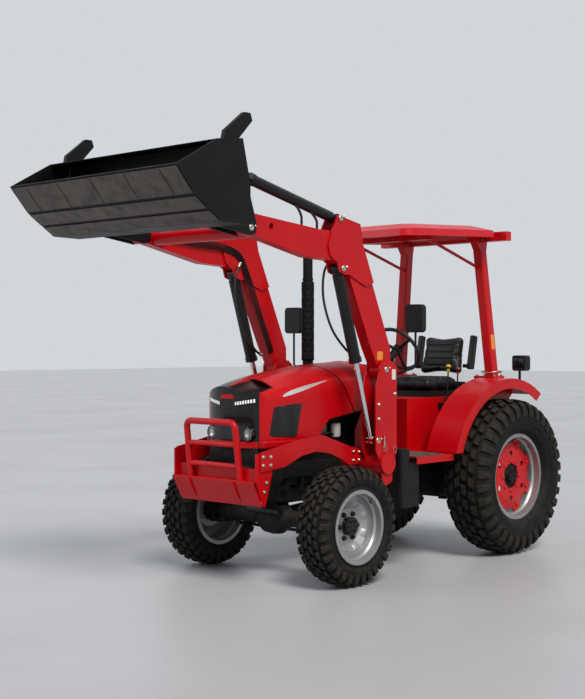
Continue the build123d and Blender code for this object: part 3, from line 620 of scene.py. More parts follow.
LABEL_WHITE = Finish("Printed_film_white", "D8D8D4", "C6C6C0", 0.35, coat=0.4, patch=20)
KNOB_YELLOW = Finish("Moulded_plastic_yellow", "D8B40C", "C4A20A", 0.35, patch=20, coat=0.3)
KNOB_RED = Finish("Moulded_plastic_red", "7C1014", "6B0D11", 0.35, patch=20, coat=0.3)
SILVER_STRIPE = Finish("Stripe_film_silver", "D9D6D6", "C7C3C3", 0.3, metallic=0.5, patch=30)


# Wheels


@dataclass(frozen=True)
class WheelSize:
    """Sizes of one wheel in millimetres, and where its centre stands.

    Flange is the rim flange's radius, face how far it stands from the wheel's middle plane, and
    well the radius inside the rim where the disc is bolted on.
    """
    body: str
    nodes: str
    half_track: float
    y: float
    z: float
    radius: float
    half_width: float
    flange: float
    face: float
    blocks: int
    well: float

    def place(self, x: np.ndarray, radius: np.ndarray, turn: np.ndarray) -> np.ndarray:
        """Places in metres: x across the tractor, radius and angle round the wheel's axle."""
        return rows(xyz(x, self.y + radius * np.cos(turn), self.z + radius * np.sin(turn)))


@dataclass
class Tyre:
    """Tyre with a moulded casing and six staggered rows of tread blocks.

    Each row in ROWS gives, from the crown outwards, its start and end as shares of the half
    width, then the block's length, phase and skew as shares of the pitch. The last row ends
    over the shoulder instead, a share of the section's height down.
    """
    size: WheelSize
    side: int
    block_height: float = 20.0
    rounding: float = 2.2
    sink: float = 3.0
    shoulder: float = 0.86
    drop: float = 0.34

    ROWS = ((0.035, 0.26, 0.31, 0.0, 0.10), (0.36, 0.60, 0.31, 0.5, 0.08),
            (0.72, None, 0.29, 0.0, -0.05))

    def section(self) -> np.ndarray:
        """Half section from the crown's middle to the bead, as (x, radius) in millimetres.

        A smooth line through set shares of the half width and of the section's height.
        """
        s = self.size
        base = s.radius - self.block_height
        depth = base - s.flange
        shares = np.array([(0.0, 1.0), (0.3, 0.992), (0.56, 0.965), (0.74, 0.91), (0.87, 0.80),
                           (0.945, 0.64), (0.965, 0.46), (0.945, 0.30), (0.88, 0.14)])
        points = np.stack([shares[:, 0] * s.half_width, s.flange + shares[:, 1] * depth], axis=1)
        bead = np.array([(s.face + 5.0, s.flange + 4.0), (s.face - 6.0, s.flange - 1.0),
                         (s.face - 9.0, s.flange - 15.0)])
        return smooth_line(np.vstack([points, bead]), 5)

    def place(self, x: np.ndarray, radius: np.ndarray, turn: np.ndarray) -> np.ndarray:
        """Puts wheel coordinates at the wheel: x along the axle, radius and angle round it."""
        return self.size.place(self.side * self.size.half_track + x, radius, turn)

    def casing(self, shell: Shell) -> None:
        """Adds the casing: the whole section carried round the axle, shut inside the rim.

        Two low rings stand on each sidewall.
        """
        s = self.size
        half = self.section()
        whole = np.vstack([half[::-1] * (-1, 1), half[1:]])
        whole = np.vstack([whole, whole[:1]])
        turn = around(120)
        shell.grid(self.place(whole[:, :1], whole[:, 1:], turn), loop=True)
        for radius_share in (0.30, 0.36):
            middle = s.flange + radius_share * (s.radius - s.flange)
            bead = np.array([(0.0, -4.0), (2.5, -2.0), (2.5, 2.0), (0.0, 4.0)])
            for way in (-1, 1):
                x = way * (s.half_width * 0.953 + bead[:, :1])
                shell.grid(self.place(x, middle + bead[:, 1:], turn), loop=True)

    def blocks(self, shell: Shell) -> None:
        """Adds the tread: each block is a raised patch of the section's surface.

        A block covers a span of the section's length and of the angle. Its height falls to
        under the casing at its border, and its sides lean outwards a little.
        """
        s = self.size
        section = self.section()
        length = np.concatenate([[0.0], np.cumsum(np.linalg.norm(np.diff(section, axis=0),
                                                                 axis=1))])
        slope = unit(np.gradient(section, axis=0))
        normal = np.stack([-slope[:, 1], slope[:, 0]], axis=1)
        normal *= np.sign(normal[:, 1:] + 0.3)
        u = np.array([-1.0, -0.97, -0.86, -0.3, 0.3, 0.86, 0.97, 1.0])
        lift = np.array([-1.0, 0.0, 1.0, 1.0, 1.0, 1.0, 0.0, -1.0])
        lift = np.minimum.outer(lift, lift)
        high = self.block_height
        raised = np.where(lift < 0, -self.sink, np.where(lift < 1, high - self.rounding, high))
        pitch = TAU / s.blocks
        last = self.shoulder * s.half_width + self.drop * (s.radius - s.flange)
        index = np.arange(s.blocks)
        for way in (-1, 1):
            for start, end, share, phase, skew in self.ROWS:
                start = start * s.half_width
                end = last if end is None else end * s.half_width
                run = (start + end) / 2 + u * (end - start) / 2
                across = np.interp(run, length, section[:, 0])
                radius = np.interp(run, length, section[:, 1])
                lean_x = np.interp(run, length, normal[:, 0])
                lean_r = np.interp(run, length, normal[:, 1])
                centre = (index + phase + (0.5 if way > 0 else 0.0)) * pitch
                turn = (centre[:, None, None] + (u * share * pitch)[None, None, :]
                        + (skew * (u + 1) * pitch)[None, :, None])
                turn = turn + np.zeros((1, len(u), 1))
                x = (across + 0 * run)[None, :, None] + lean_x[None, :, None] * raised[None]
                r = radius[None, :, None] + lean_r[None, :, None] * raised[None]
                reach = s.half_width - 0.6
                grid = self.place(way * np.minimum(x, reach), np.minimum(r, s.radius - 0.4), turn)
                self.put(shell, grid)

    @staticmethod
    def put(shell: Shell, grid: np.ndarray) -> None:
        """Adds many equal patches at once, their top faces in the finish of dust and painted
        highlight.

        Args:
            shell: Takes the faces.
            grid: Shape (k, n, m, 3).
        """
        k, n, m = grid.shape[:3]
        cells = quads(n, m)
        inner = np.zeros((n - 1, m - 1), bool)
        inner[1:-1, 1:-1] = True
        step = (np.arange(k) * n * m)[:, None, None]
        top = (cells[inner][None] + step).reshape(-1, 4)
        rim = (cells[~inner][None] + step).reshape(-1, 4)
        shell.add(grid, top, 1)
        start = shell.count - k * n * m
        shell.faces += (rim + start).tolist()
        shell.slots += [0] * len(rim)

    def build(self) -> None:
        """Builds the tyre and hides the plain one that it stands for."""
        side_name = SIDE_NAMES[self.side]
        name, body = f"{self.size.nodes}_{side_name}", f"{self.size.body}_{side_name}"
        shell = Shell()
        self.casing(shell)
        casing = shell.build(f"casing_{name}", body, RUBBER, smooth=50)
        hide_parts(f"tyre_{name}")
        tread = Shell()
        self.blocks(tread)
        # The block tops take the lighter finish, part dust and part painted highlight; the sides stay
        # plain rubber.
        tread.build(f"tread_{name}", body, RUBBER, TREAD_DUST_AND_HIGHLIGHT, smooth=30, closed=False)


@dataclass
class WheelTrim:
    """Bolts and valve of one wheel, and the domes pressed in a front disc."""
    size: WheelSize
    side: int

    def ring(self, count: int, radius: float, x: float, phase: float = 0.0) -> np.ndarray:
        """Places on a circle round the axle, x millimetres out from the wheel's middle."""
        return self.size.place(self.side * (self.size.half_track + x), radius,
                               around(count, phase))

    def build(self) -> None:
        """Builds the painted bolts and the rubber valve stem."""
        s = self.size
        side_name = SIDE_NAMES[self.side]
        body = f"{s.body}_{side_name}"
        bolts = Shell()
        axis = np.array([self.side, 0.0, 0.0])
        if s.nodes == "rear":
            bolts.copies(*hex_head(0.024, 0.016), self.ring(8, s.well - 22, 48, 0.5), axis)
            bolts.copies(*hex_head(0.027, 0.02), self.ring(8, 112, 52), axis)
            cap = Shell()
            cap.copies(*hex_head(0.014, 0.01), self.ring(6, 42, 78), axis)
            cap.build(f"cap_bolts_{side_name}", body, CAST_BLACK, smooth=35)
        else:
            bolts.copies(*hex_head(0.024, 0.02), self.ring(6, 88, 10), axis)
            bolts.copies(*hex_head(0.012, 0.008), self.ring(6, 36, 52), axis)
        bolts.build(f"bolts_{s.nodes}_{side_name}", body,
                    DISC_RED if s.nodes == "rear" else CAST_BLACK, smooth=35)
        start = self.ring(1, s.flange - 34, s.face - 40, 0.13)[0]
        end = self.ring(1, s.flange - 52, s.face - 12, 0.13)[0]
        skin(f"valve_{s.nodes}_{side_name}", body, HOSE,
             tube(np.linspace(start, end, 4), np.array([0.006, 0.005, 0.004, 0.0035]), 10))
        if s.nodes == "front":
            self.stampings(body, side_name)

    def stampings(self, body: str, side_name: str) -> None:
        """Adds the domes pressed in the front disc, on a conical band.

        Each dome's height is the product of two cosine humps over its angle and radius.
        """
        s = self.size
        shell = Shell()
        u = np.linspace(-1, 1, 9)
        hump = np.cos(u * math.pi / 2) ** 0.6
        for k in range(8):
            turn = (k + 0.5) / 8 * TAU + u[:, None] * 0.2
            radius = 150 + u[None, :] * 24
            x = np.minimum(10 + 30 * (radius - 120) / 45, 40.0)
            x = s.half_track + x + 9 * hump[:, None] * hump - 2
            shell.grid(s.place(self.side * x, radius, turn))
        shell.build(f"stampings_front_{side_name}", body, RIM_SILVER, smooth=60, closed=False)


# Driver's place


@dataclass
class Seat:
    """Seat cushion and backrest in pressed vinyl, blown up over foam by cloth pressure."""
    voxel: float = 0.006
    cap: float = 0.022
    pressure: float = 4.0
    frames: int = 20
    groove: float = 0.006
    press: float = 0.007

    def swell(self, piece: bpy.types.Object, low: np.ndarray, high: np.ndarray) -> None:
        """Blows the pad up as cloth, then holds each point near its start and in its box.

        Args:
            piece: The pad's mesh.
            low: Lowest corner that it may reach.
            high: Highest corner that it may reach.
        """
        remesh = piece.modifiers.new("Voxels", "REMESH")
        remesh.mode, remesh.voxel_size, remesh.use_smooth_shade = "VOXEL", self.voxel, True
        self.apply(piece)
        start = self.points(piece)
        cloth = piece.modifiers.new("Cloth", "CLOTH")
        cloth.settings.use_pressure = True
        cloth.settings.uniform_pressure_force = self.pressure
        cloth.settings.effector_weights.gravity = 0.0
        cloth.settings.quality = 4
        scene = bpy.context.scene
        for frame in range(1, self.frames + 1):
            scene.frame_set(frame)
        graph = bpy.context.evaluated_depsgraph_get()
        swollen = bpy.data.meshes.new_from_object(piece.evaluated_get(graph))
        moved = np.empty(len(swollen.vertices) * 3)
        swollen.vertices.foreach_get("co", moved)
        moved = moved.reshape(-1, 3) - start
        length = np.linalg.norm(moved, axis=1, keepdims=True)
        start = start + moved * np.minimum(1.0, self.cap / np.maximum(length, 1e-9))
        piece.modifiers.remove(cloth)
        scene.frame_set(1)
        points = np.clip(start, low, high)
        piece.data.vertices.foreach_set("co", points.ravel())
        piece.data.update()

    @staticmethod
    def points(piece: bpy.types.Object) -> np.ndarray:
        """Reads the mesh's points, shape (n, 3)."""
        flat = np.empty(len(piece.data.vertices) * 3)
        piece.data.vertices.foreach_get("co", flat)
        return flat.reshape(-1, 3)

    @staticmethod
    def apply(piece: bpy.types.Object) -> None:
        """Puts the modifiers' result in the mesh and removes them."""
        graph = bpy.context.evaluated_depsgraph_get()
        mesh = bpy.data.meshes.new_from_object(piece.evaluated_get(graph))
        piece.modifiers.clear()
        piece.data = mesh

    def channels(self, piece: bpy.types.Object, axis: np.ndarray, origin: np.ndarray,
                 face: np.ndarray, marks: tuple[float, ...], half: float) -> None:
        """Presses sewn channels: each is a narrow valley, a bell curve across its line.

        Args:
            piece: The pad.
            axis: Direction along which the marks are measured.
            origin: Where a mark is zero.
            face: Direction that the seen face looks in.
            marks: Distances of the valleys in metres.
            half: Half width of the valleys' run across X.
        """
        points = self.points(piece)
        normals = np.empty(len(piece.data.vertices) * 3)
        piece.data.vertices.foreach_get("normal", normals)
        facing = np.clip(normals.reshape(-1, 3) @ face, 0, 1) ** 2
        along = (points - origin) @ axis
        inside = 1 / (1 + np.exp((np.abs(points[:, 0]) - half) / 0.004))
        depth = sum(np.exp(-((along - mark) / self.groove) ** 2) for mark in marks)
        side = np.exp(-((np.abs(points[:, 0]) - half) / self.groove) ** 2)
        low, high = min(marks), max(marks)
        side = side * ((along > low) & (along < high))
        press = self.press * np.minimum(1.0, depth * inside + side) * facing
        points = points - press[:, None] * face
        piece.data.vertices.foreach_set("co", points.ravel())
        piece.data.update()

    def pad(self, name: str, node: str, grid: np.ndarray, face: np.ndarray, axis: np.ndarray,
            origin: np.ndarray, marks: tuple[float, ...], half: float) -> None:
        """Builds one pad from a rounded starting shape and hides its plain solid."""
        piece = skin(name, "chassis", VINYL, grid, smooth=None)
        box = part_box(node)
        self.swell(piece, np.array(box[0]) - 0.004, np.array(box[1]) + 0.004)
        self.channels(piece, axis, origin, face, marks, half)
        finer = piece.modifiers.new("Finer", "SUBSURF")
        finer.levels = finer.render_levels = 1
        piece.data.polygons.foreach_set("use_smooth", np.ones(len(piece.data.polygons), bool))
        piece.data.materials.clear()
        piece.data.materials.append(VINYL.material())
        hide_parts(node)

    def build(self) -> None:
        """Builds the cushion, then the backrest, whose slope leans back from upright."""
        low, high = at(-215, -412, 1252), at(215, 0, 1328)
        flat = cushion_box(low, high, 0.034, 32)
        crown = 1 - ((flat[..., 1] - low[1]) / (high[1] - low[1]) - 0.5) ** 2
        flat[..., 2] -= 0.014 * (1 - crown) * (flat[..., 2] > (low[2] + high[2]) / 2)
        up, forward = np.array([0.0, 0.0, 1.0]), np.array([0.0, 1.0, 0.0])
        self.pad("cushion_seat", "seat_cushion", flat, up, forward, at(0, -412, 0),
                 (0.075, 0.14, 0.205, 0.27, 0.335), 0.15)
        slope = unit(np.array([0.0, 0.19, 0.98]))
        face = np.array([0.0, -slope[2], slope[1]])
        thick = 0.068
        sheet = cushion_box(np.array([-0.200, -thick / 2, 0.0]), np.array([0.200, thick / 2, 0.305]),
                            0.032, 32)
        narrow = 1 - 0.12 * np.clip((sheet[..., 2] - 0.15) / 0.155, 0, 1) ** 2
        sheet[..., 0] *= narrow
        wings = 0.018 * (np.abs(sheet[..., 0]) / 0.2) ** 3
        base = at(0, 62, 1356)
        placed = (base + sheet[..., :1] * (1, 0, 0) + sheet[..., 2:] * slope
                  + (-sheet[..., 1:2] + wings[..., None]) * face)
        self.pad("cushion_back", "seat_back", placed, face, slope, base,
                 (0.06, 0.115, 0.17, 0.225), 0.125)


@dataclass
class Wheelhouse:
    """Steering wheel's cover, dials on the dash, lever knobs, mirrors and mat ribs."""
    centre: tuple[float, float, float] = (0.0, -510.0, 1560.0)
    ring: float = 0.185

    # Name, place of the ball in millimetres and finish of each lever's knob.
    KNOBS = (("yellow", 335, -310, 1420, KNOB_YELLOW), ("red", 375, -240, 1400, KNOB_RED),
             ("black", -345, -280, 1400, ABS))

    def build(self) -> None:
        """Builds the pieces one by one."""
        self.hub_cover()
        self.dash()
        self.knobs()
        self.mirror_glass()
        self.mat_ribs()

    def hub_cover(self) -> None:
        """Domed cap on the wheel's hub and finger waves under the ring."""
        axis = unit(np.array([0.0, 385.0, 275.0]))
        origin = at(*self.centre)
        cap = spun(np.array([(0.002, 0.0), (0.002, 0.040), (0.010, 0.040), (0.016, 0.034),
                             (0.019, 0.020), (0.0195, 0.0)]), origin, axis, 40)
        turn = around(240)
        first, second = crosswise(axis)
        out = np.cos(turn)[:, None] * first + np.sin(turn)[:, None] * second
        small = around(12)
        wave = 0.0142 + 0.0009 * np.cos(turn * 40) ** 2
        grid = ((origin + self.ring * out)[:, None] + wave[:, None, None]
                * (np.cos(small)[None, :, None] * out[:, None]
                   + np.sin(small)[None, :, None] * axis))
        skin("wheel_cover", "steering_wheel", GRIP, cap, np.vstack([grid, grid[:1]]))

    def dash(self) -> None:
        """Instrument cluster: three dials with raised bezels and a row of switches."""
        face = unit(np.array([0.0, 35.0, 25.0]))
        middle = at(0, -892, 1378)
        across = np.array([1.0, 0.0, 0.0])
        up = np.cross(face, across)
        up = up if up[2] > 0 else -up
        bezel = Shell()
        dials = Shell()
        for x, size in ((-0.072, 0.032), (0.0, 0.042), (0.072, 0.032)):
            spot = middle + x * across
            bezel.grid(spun(np.array([(-0.006, size + 0.004), (0.004, size + 0.006),
                                      (0.008, size + 0.004), (0.008, size), (0.003, size - 0.002)]),
                            spot, face, 36), loop=True)
            dials.grid(spun(np.array([(-0.004, size), (0.0035, size - 0.001), (0.0035, 0.0)]),
                            spot, face, 36), loop=True)
            for angle in np.arange(9) / 12 * TAU - 0.6:
                way = math.cos(angle) * across + math.sin(angle) * up
                start = spot + way * (size * 0.66) + face * 0.0037
                end, edge = start + way * size * 0.2, 0.0006 * np.cross(way, face)
                bezel.prism(np.array([start - edge, start + edge, end + edge, end - edge]),
                            face * 0.0006)
        bezel.build("dash_bezels", "chassis", ABS)
        dials.build("dash_dials", "chassis", DIAL)
        spots = [middle + across * (-0.08 + 0.04 * k) - up * 0.062 for k in range(5)]
        half = np.array([0.011, 0.009, 0.009])
        skin("dash_switches", "chassis", GLOSS,
             *[cushion_box(spot - half, spot + half, 0.003, 16) for spot in spots])

    def knobs(self) -> None:
        """Lever knobs: pear-shaped turned grips over the levers' plain balls, with boots."""
        grip = np.array([(-0.032, 0.0), (-0.032, 0.0095), (-0.012, 0.0125), (0.004, 0.0187),
                         (0.013, 0.0187), (0.0205, 0.013), (0.0225, 0.0)])
        boot = np.array([(-0.01, 0.0), (-0.008, 0.026), (0.006, 0.024), (0.010, 0.019),
                         (0.016, 0.021), (0.021, 0.015), (0.027, 0.017), (0.034, 0.009),
                         (0.034, 0.0)])
        for name, x, y, high, finish in self.KNOBS:
            top = at(x, y, high)
            foot = at(x, y - 20, 1152)
            way = unit(top - foot)
            skin(f"knob_{name}", "chassis", finish, spun(grip, top, way, 24), smooth=60)
            skin(f"boot_{name}", "chassis", GRIP, spun(boot, foot, way, 24), smooth=60)

    def mirror_glass(self) -> None:
        """Silvered glass in each mirror's rear face, with a moulded lip round it."""
        shape = squarish(64, 0.28)
        for side, name in SIDES:
            rings = []
            for share, y in ((1.0, -1031), (0.99, -1027), (0.94, -1026.5), (0.925, -1029),
                             (0.925, -1034)):
                rings.append(rows(xyz(side * 590 + shape[:, 0] * 72 * share, y,
                                      1780 + shape[:, 1] * 97 * share)))
            skin(f"mirror_lip_{name}", "chassis", ABS, np.array(rings), closed=False)
            pane = np.array([rings[3] + (0, 0.0004, 0), rings[3] * (0, 1, 0)
                             + np.array([side * 0.59, 0.0008, 1.78])])
            skin(f"mirror_glass_{name}", "chassis", MIRROR, pane, closed=False)

    def mat_ribs(self) -> None:
        """Low ribs across both mats, each a half-round bar."""
        small = np.linspace(0, math.pi, 5)
        arc = np.stack([np.cos(small) * 4, np.sin(small) * 3], axis=1)
        bars = []
        for side in (1, -1):
            for y in np.arange(-1095, -800, 17.0):
                bars.append(rows([xyz(side * x, y + arc[:, 0], 805.5 + arc[:, 1])
                                  for x in (178, 622)]))
        skin("mat_ribs", "chassis", MAT, *bars, loop=False, closed=False)


# Nose, hood and lamps


@dataclass
class Nose:
    """Black nose with its lit strips, round lamps, red plate and punched grille.

    The hood's half widths give the place of what lies on its sides.
    """
    centre_y: float = -1920.0
    radius: float = 430.0
    lamp: tuple[float, float, float] = (170.0, -2322.0, 1000.0)
    front: float = 236.0
    foot: float = 906.0

    # The left lit strip: x of its ends, and z of its lower and upper edge at each end.
    STRIP_ENDS = (70, 215)
    STRIP_LOW = (1188, 1210)
    STRIP_HIGH = (1212, 1236)
    # The left side window's corners as (y, z).
    WINDOW = ((-2190, 1180), (-1930, 1200), (-1990, 970), (-2230, 990))

    @staticmethod
    def side_of(y: np.ndarray) -> np.ndarray:
        """Half width of the hood at each y, in millimetres."""
        return np.interp(y, HOOD_STATIONS, HOOD_HALF_WIDTHS)

    def on_nose(self, x: np.ndarray, z: np.ndarray, out: float | np.ndarray) -> np.ndarray:
        """Places on the round nose: the cylinder's front at each x, stepped out square to it."""
        angle, reach = np.arcsin(x / self.radius), self.radius + out
        return rows(xyz(reach * np.sin(angle), self.centre_y - reach * np.cos(angle), z))

    def panel(self, name: str, left: np.ndarray, right: np.ndarray, low: np.ndarray,
              high: np.ndarray, thick: float, finish: Finish, body: str = "hood") -> None:
        """Builds a plate bent to the nose, with rounded-off edges.

        Args:
            name: Name of the piece.
            left: X of the left edge at the foot and at the top.
            right: X of the right edge at the foot and at the top.
            low: Z of the foot at left and right.
            high: Z of the top at left and right.
            thick: How far it stands out of the nose.
            finish: Its finish.
            body: Body that it rides on.
        """
        u = np.concatenate([[0.0, 0.0, 0.012], np.linspace(0.05, 0.95, 15), [0.988, 1.0, 1.0]])
        v = np.concatenate([[0.0, 0.0, 0.04], np.linspace(0.12, 0.88, 5), [0.96, 1.0, 1.0]])
        lift_u = np.concatenate([[-2.0, 0.4, 1.0], np.ones(15), [1.0, 0.4, -2.0]])
        lift_v = np.concatenate([[-2.0, 0.4, 1.0], np.ones(5), [1.0, 0.4, -2.0]])
        out = np.minimum.outer(lift_v, lift_u) * thick
        out = np.where(out < 0, -3.0, out)
        at_foot = left[0] + (right[0] - left[0]) * u
        at_top = left[1] + (right[1] - left[1]) * u
        x = at_foot[None] + (at_top - at_foot)[None] * v[:, None]
        z_low = low[0] + (low[1] - low[0]) * u
        z_high = high[0] + (high[1] - high[0]) * u
        z = z_low[None] + (z_high - z_low)[None] * v[:, None]
        skin(name, body, finish, self.on_nose(x, z, out), loop=False, smooth=35, closed=False)

    def round_lamp(self, side: int, name: str) -> None:
        """Low round lamp: bezel, bowl and a domed lens."""
        x, y, z = self.lamp
        origin = at(side * x, y, z)
        out = np.array([0.0, -1.0, 0.0])
        skin(f"lamp_bezel_{name}", "hood", GLOSS,
             spun(np.array([(-0.004, 0.0485), (0.003, 0.0485), (0.006, 0.046), (0.0065, 0.043),
                            (0.004, 0.041), (-0.002, 0.0405)]), origin, out, 48))
        depth = np.linspace(0, 1, 8)
        bowl = np.stack([0.0006 + 0.0026 * depth ** 2, 0.0005 + 0.024 * depth], axis=1)
        skin(f"lamp_bowl_{name}", "hood", CHROME, spun(bowl, origin, out, 48), closed=False)
        reach = np.linspace(1, 0, 9)
        dome = np.stack([0.0045 + 0.0035 * np.sqrt(1 - reach ** 2), 0.0405 * reach], axis=1)
        skin(f"lamp_lens_{name}", "hood", LENS, spun(dome, origin, out, 48), closed=False)

    def build(self) -> None:
        """Builds the nose's pieces."""
        for side, name in SIDES:
            self.round_lamp(side, name)
            ends = sorted(side * x for x in self.STRIP_ENDS)
            low, high = self.STRIP_LOW[::side], self.STRIP_HIGH[::side]
            self.panel(f"strip_housing_{name}", (ends[0] - 8, ends[0] - 8),
                       (ends[1] + 8, ends[1] + 8), (low[0] - 9, low[1] - 9),
                       (high[0] + 8, high[1] + 8), 4.0, GLOSS)
            self.cells(f"strip_{name}", ends, low, high)
        self.panel("badge_plate", (-62, -48), (62, 48), (1232, 1232), (1262, 1262), 5.0, RED)
        self.panel("grille_sheet", (-178, -178), (178, 178), (960, 960), (1052, 1052), 1.6, MESH)
        self.wedge()
        self.louvres()
        self.stripe()
        self.apron()

    def cells(self, name: str, ends: list[int], low: tuple[int, int], high: tuple[int, int]
              ) -> None:
        """Lit strip of eight cells along a housing, each a low rounded block."""
        blocks = []
        edge = np.linspace(0, 1, 9)
        for start, end in zip(edge[:-1] + 0.02, edge[1:] - 0.02):
            u = np.array([0.0, 0.06, 0.94, 1.0])
            lift = np.array([-1.0, 5.4, 5.4, -1.0])
            share = start + (end - start) * u
            x = ends[0] + (ends[1] - ends[0]) * share
            bottom = low[0] + (low[1] - low[0]) * share
            top = high[0] + (high[1] - high[0]) * share
            v = np.array([0.0, 0.08, 0.92, 1.0])
            z = bottom[None] + (top - bottom)[None] * v[:, None]
            blocks.append(self.on_nose(x[None], z, np.minimum.outer(lift, lift)))
        skin(name, "hood", LED, *blocks, loop=False, smooth=35, closed=False)

    def wedge(self) -> None:
        """Red wedge on the nose's centre line, laid on the panel, wider towards the hood."""
        t = np.linspace(0, 1, 22)
        u = np.linspace(-1, 1, 7)
        y = -2326 + 168 * t
        start = xyz((9 + 26 * t)[:, None] * u, y[:, None], 1500.0)
        grid = cast("nose_panel", rows(start.reshape(-1, 3)), np.array([0.0, 0.0, -1.0]))
        grid = (grid + (0, 0, 0.0016)).reshape(start.shape)
        grid[:, [0, -1], 2] -= 0.003
        skin("nose_wedge", "hood", RED, grid, loop=False, closed=False)

    def louvres(self) -> None:
        """Side windows: a rounded black frame over the punched sheet, with upright slats."""
        corners = np.array(self.WINDOW, float)
        centre = corners.mean(axis=0)
        for way, name in SIDES:
            edge = np.concatenate([a + (b - a) * np.linspace(0.1, 0.9, 9)[:, None]
                                   for a, b in zip(corners, np.roll(corners, -1, axis=0))])
            rings = []
            for share, lift in ((1.03, -1.5), (1.03, 1.2), (1.0, 2.2), (0.94, 2.2), (0.92, 0.8),
                                (0.92, -1.5)):
                yz = centre + (edge - centre) * share
                x = self.side_of(yz[:, 0]) * 0.995
                rings.append(xyz(way * (x + lift), yz[:, 0], yz[:, 1]))
            skin(f"window_frame_{name}", "hood", GLOSS, rows(np.array(rings)), closed=False)
            slats = []
            for share in np.linspace(0.1, 0.9, 12):
                top = corners[0] + (corners[1] - corners[0]) * share
                foot = corners[3] + (corners[2] - corners[3]) * share
                line = foot + (top - foot) * np.linspace(0.05, 0.95, 8)[:, None]
                x = way * (self.side_of(line[:, 0]) * 0.995 + 0.5)
                slats.append(tube(rows(xyz(x, line[:, 0], line[:, 1])), 0.0032, 8))
            skin(f"window_slats_{name}", "hood", ABS, *slats)

    def stripe(self) -> None:
        """Tapering silver stripe along each side of the hood, lying on its skin."""
        t = np.linspace(0, 1, 31)
        y = -2115 + 460 * t
        wide = 1.5 + 27 * np.sin(np.pi * t ** 0.55) ** 0.9
        v = np.linspace(-0.5, 0.5, 7)
        z = 1248 + 98 * t[:, None] ** 0.85 + wide[:, None] * v[None]
        for way, name in SIDES:
            start = xyz(way * 420.0, y[:, None], z)
            grid = cast("hood_shell", rows(start.reshape(-1, 3)), np.array([-way, 0.0, 0.0]))
            grid = (grid + (way * 0.0009, 0, 0.0003)).reshape(start.shape)
            skin(f"hood_stripe_{name}", "hood", SILVER_STRIPE, grid if way < 0 else grid[:, ::-1],
                 loop=False, closed=False)

    def apron(self) -> None:
        """Red skirt under the nose and along the hood's lower front edge.

        Its foot rises from the front as the square of the distance back.
        """
        foot = (self.foot, self.foot)
        self.panel("apron_front", (-234, -234), (234, 234), foot, (950, 950), 6.0, RED)
        for way, name in SIDES:
            t = np.linspace(0, 1, 16)
            y = -2292 + 310 * t
            foot = self.foot + 40 * t ** 2
            v = np.linspace(0, 1, 5)
            z = foot[:, None] + (952 - foot)[:, None] * v[None]
            half = np.minimum(self.side_of(y), HOOD_HALF_WIDTHS[2]) * 0.992 + 1.5
            half = self.front + (half - self.front) * np.clip((y + 2292) / 22, 0, 1)
            side = skin(f"apron_{name}", "hood", RED, rows(xyz(way * half[:, None], y[:, None], z)),
                        loop=False, closed=False)
            wall = side.modifiers.new("Wall", "SOLIDIFY")
            wall.thickness, wall.offset = 0.004, 0.0


@dataclass
class Lamps:
    """Tail lamps' amber and red lenses, and the dark plate on each lamp's front."""
    low: float = 1402.0
    high: float = 1498.0

    def build(self) -> None:
        """Builds the lenses and front plates on both sides."""
        for side, name in SIDES:
            for label, x0, x1, finish in (("amber", 612, 664, AMBER), ("red", 676, 728, TAIL_RED)):
                skin(f"tail_{label}_{name}", "chassis", finish,
                     cushion_box(at(side * x0, 212, self.low), at(side * x1, 226, self.high),
                                 0.006, 24))
            skin(f"marker_{name}", "chassis", GLOSS,
                 cushion_box(at(side * 622, 146, self.low + 10),
                             at(side * 718, 154, self.high - 10), 0.0035, 24))


@dataclass
class Labels:
    """Plain coloured films on the arm, the mast and the roll bar's post."""

    # Name, body, middle, direction that it faces, width, height and finish of each film.
    FILMS = (("film_arm_orange", "boom", (543.3, -1398, 1516), (1, 0, 0), 62, 62, LABEL_ORANGE),
             ("film_mast_white", "chassis", (565.3, -1272, 1385), (1, 0, 0), 42, 72, LABEL_WHITE),
             ("film_post_yellow", "chassis", (469.9, 91, 1615), (1, 0, 0.0947), 44, 118,
              LABEL_ORANGE))

    def film(self, name: str, body: str, centre: tuple[float, float, float],
             out: tuple[float, float, float], wide: float, high: float, finish: Finish) -> None:
        """Builds a thin film with rounded corners, square to a direction.

        The outline is a superellipse: |x|^n + |y|^n = 1 with n = 7.
        """
        normal = unit(np.array(out, float))
        side = unit(np.cross((0.0, 0.0, 1.0), normal))
        up = np.cross(normal, side)
        shape = squarish(48, 2 / 7) * (wide, high) / 2000
        middle = at(*centre)
        ring = middle + shape[:, :1] * side + shape[:, 1:] * up
        skin(name, body, finish,
             np.array([ring - 0.001 * normal, ring + 0.0006 * normal,
                       np.broadcast_to(middle + 0.0006 * normal, ring.shape)]), closed=False)

    def build(self) -> None:
        """Places each film on the plate that carries it."""
        for name, body, centre, out, wide, high, finish in self.FILMS:
            self.film(name, body, centre, out, wide, high, finish)


# Loader, engine bay and fittings


def cast(node: str, origins: np.ndarray, way: np.ndarray) -> np.ndarray:
    """Finds where rays meet a node's mesh; a ray that misses keeps its own start.

    Args:
        node: The CAD node.
        origins: Starts of the rays in metres, shape (n, 3).
        way: Their common direction.

    Returns:
        The places where they meet it, shape (n, 3).
    """
    target = bpy.data.objects[node]
    hits = [target.ray_cast(Vector(start), Vector(way)) for start in origins.tolist()]
    return np.array([hit[1] if hit[0] else start for hit, start in zip(hits, origins.tolist())])


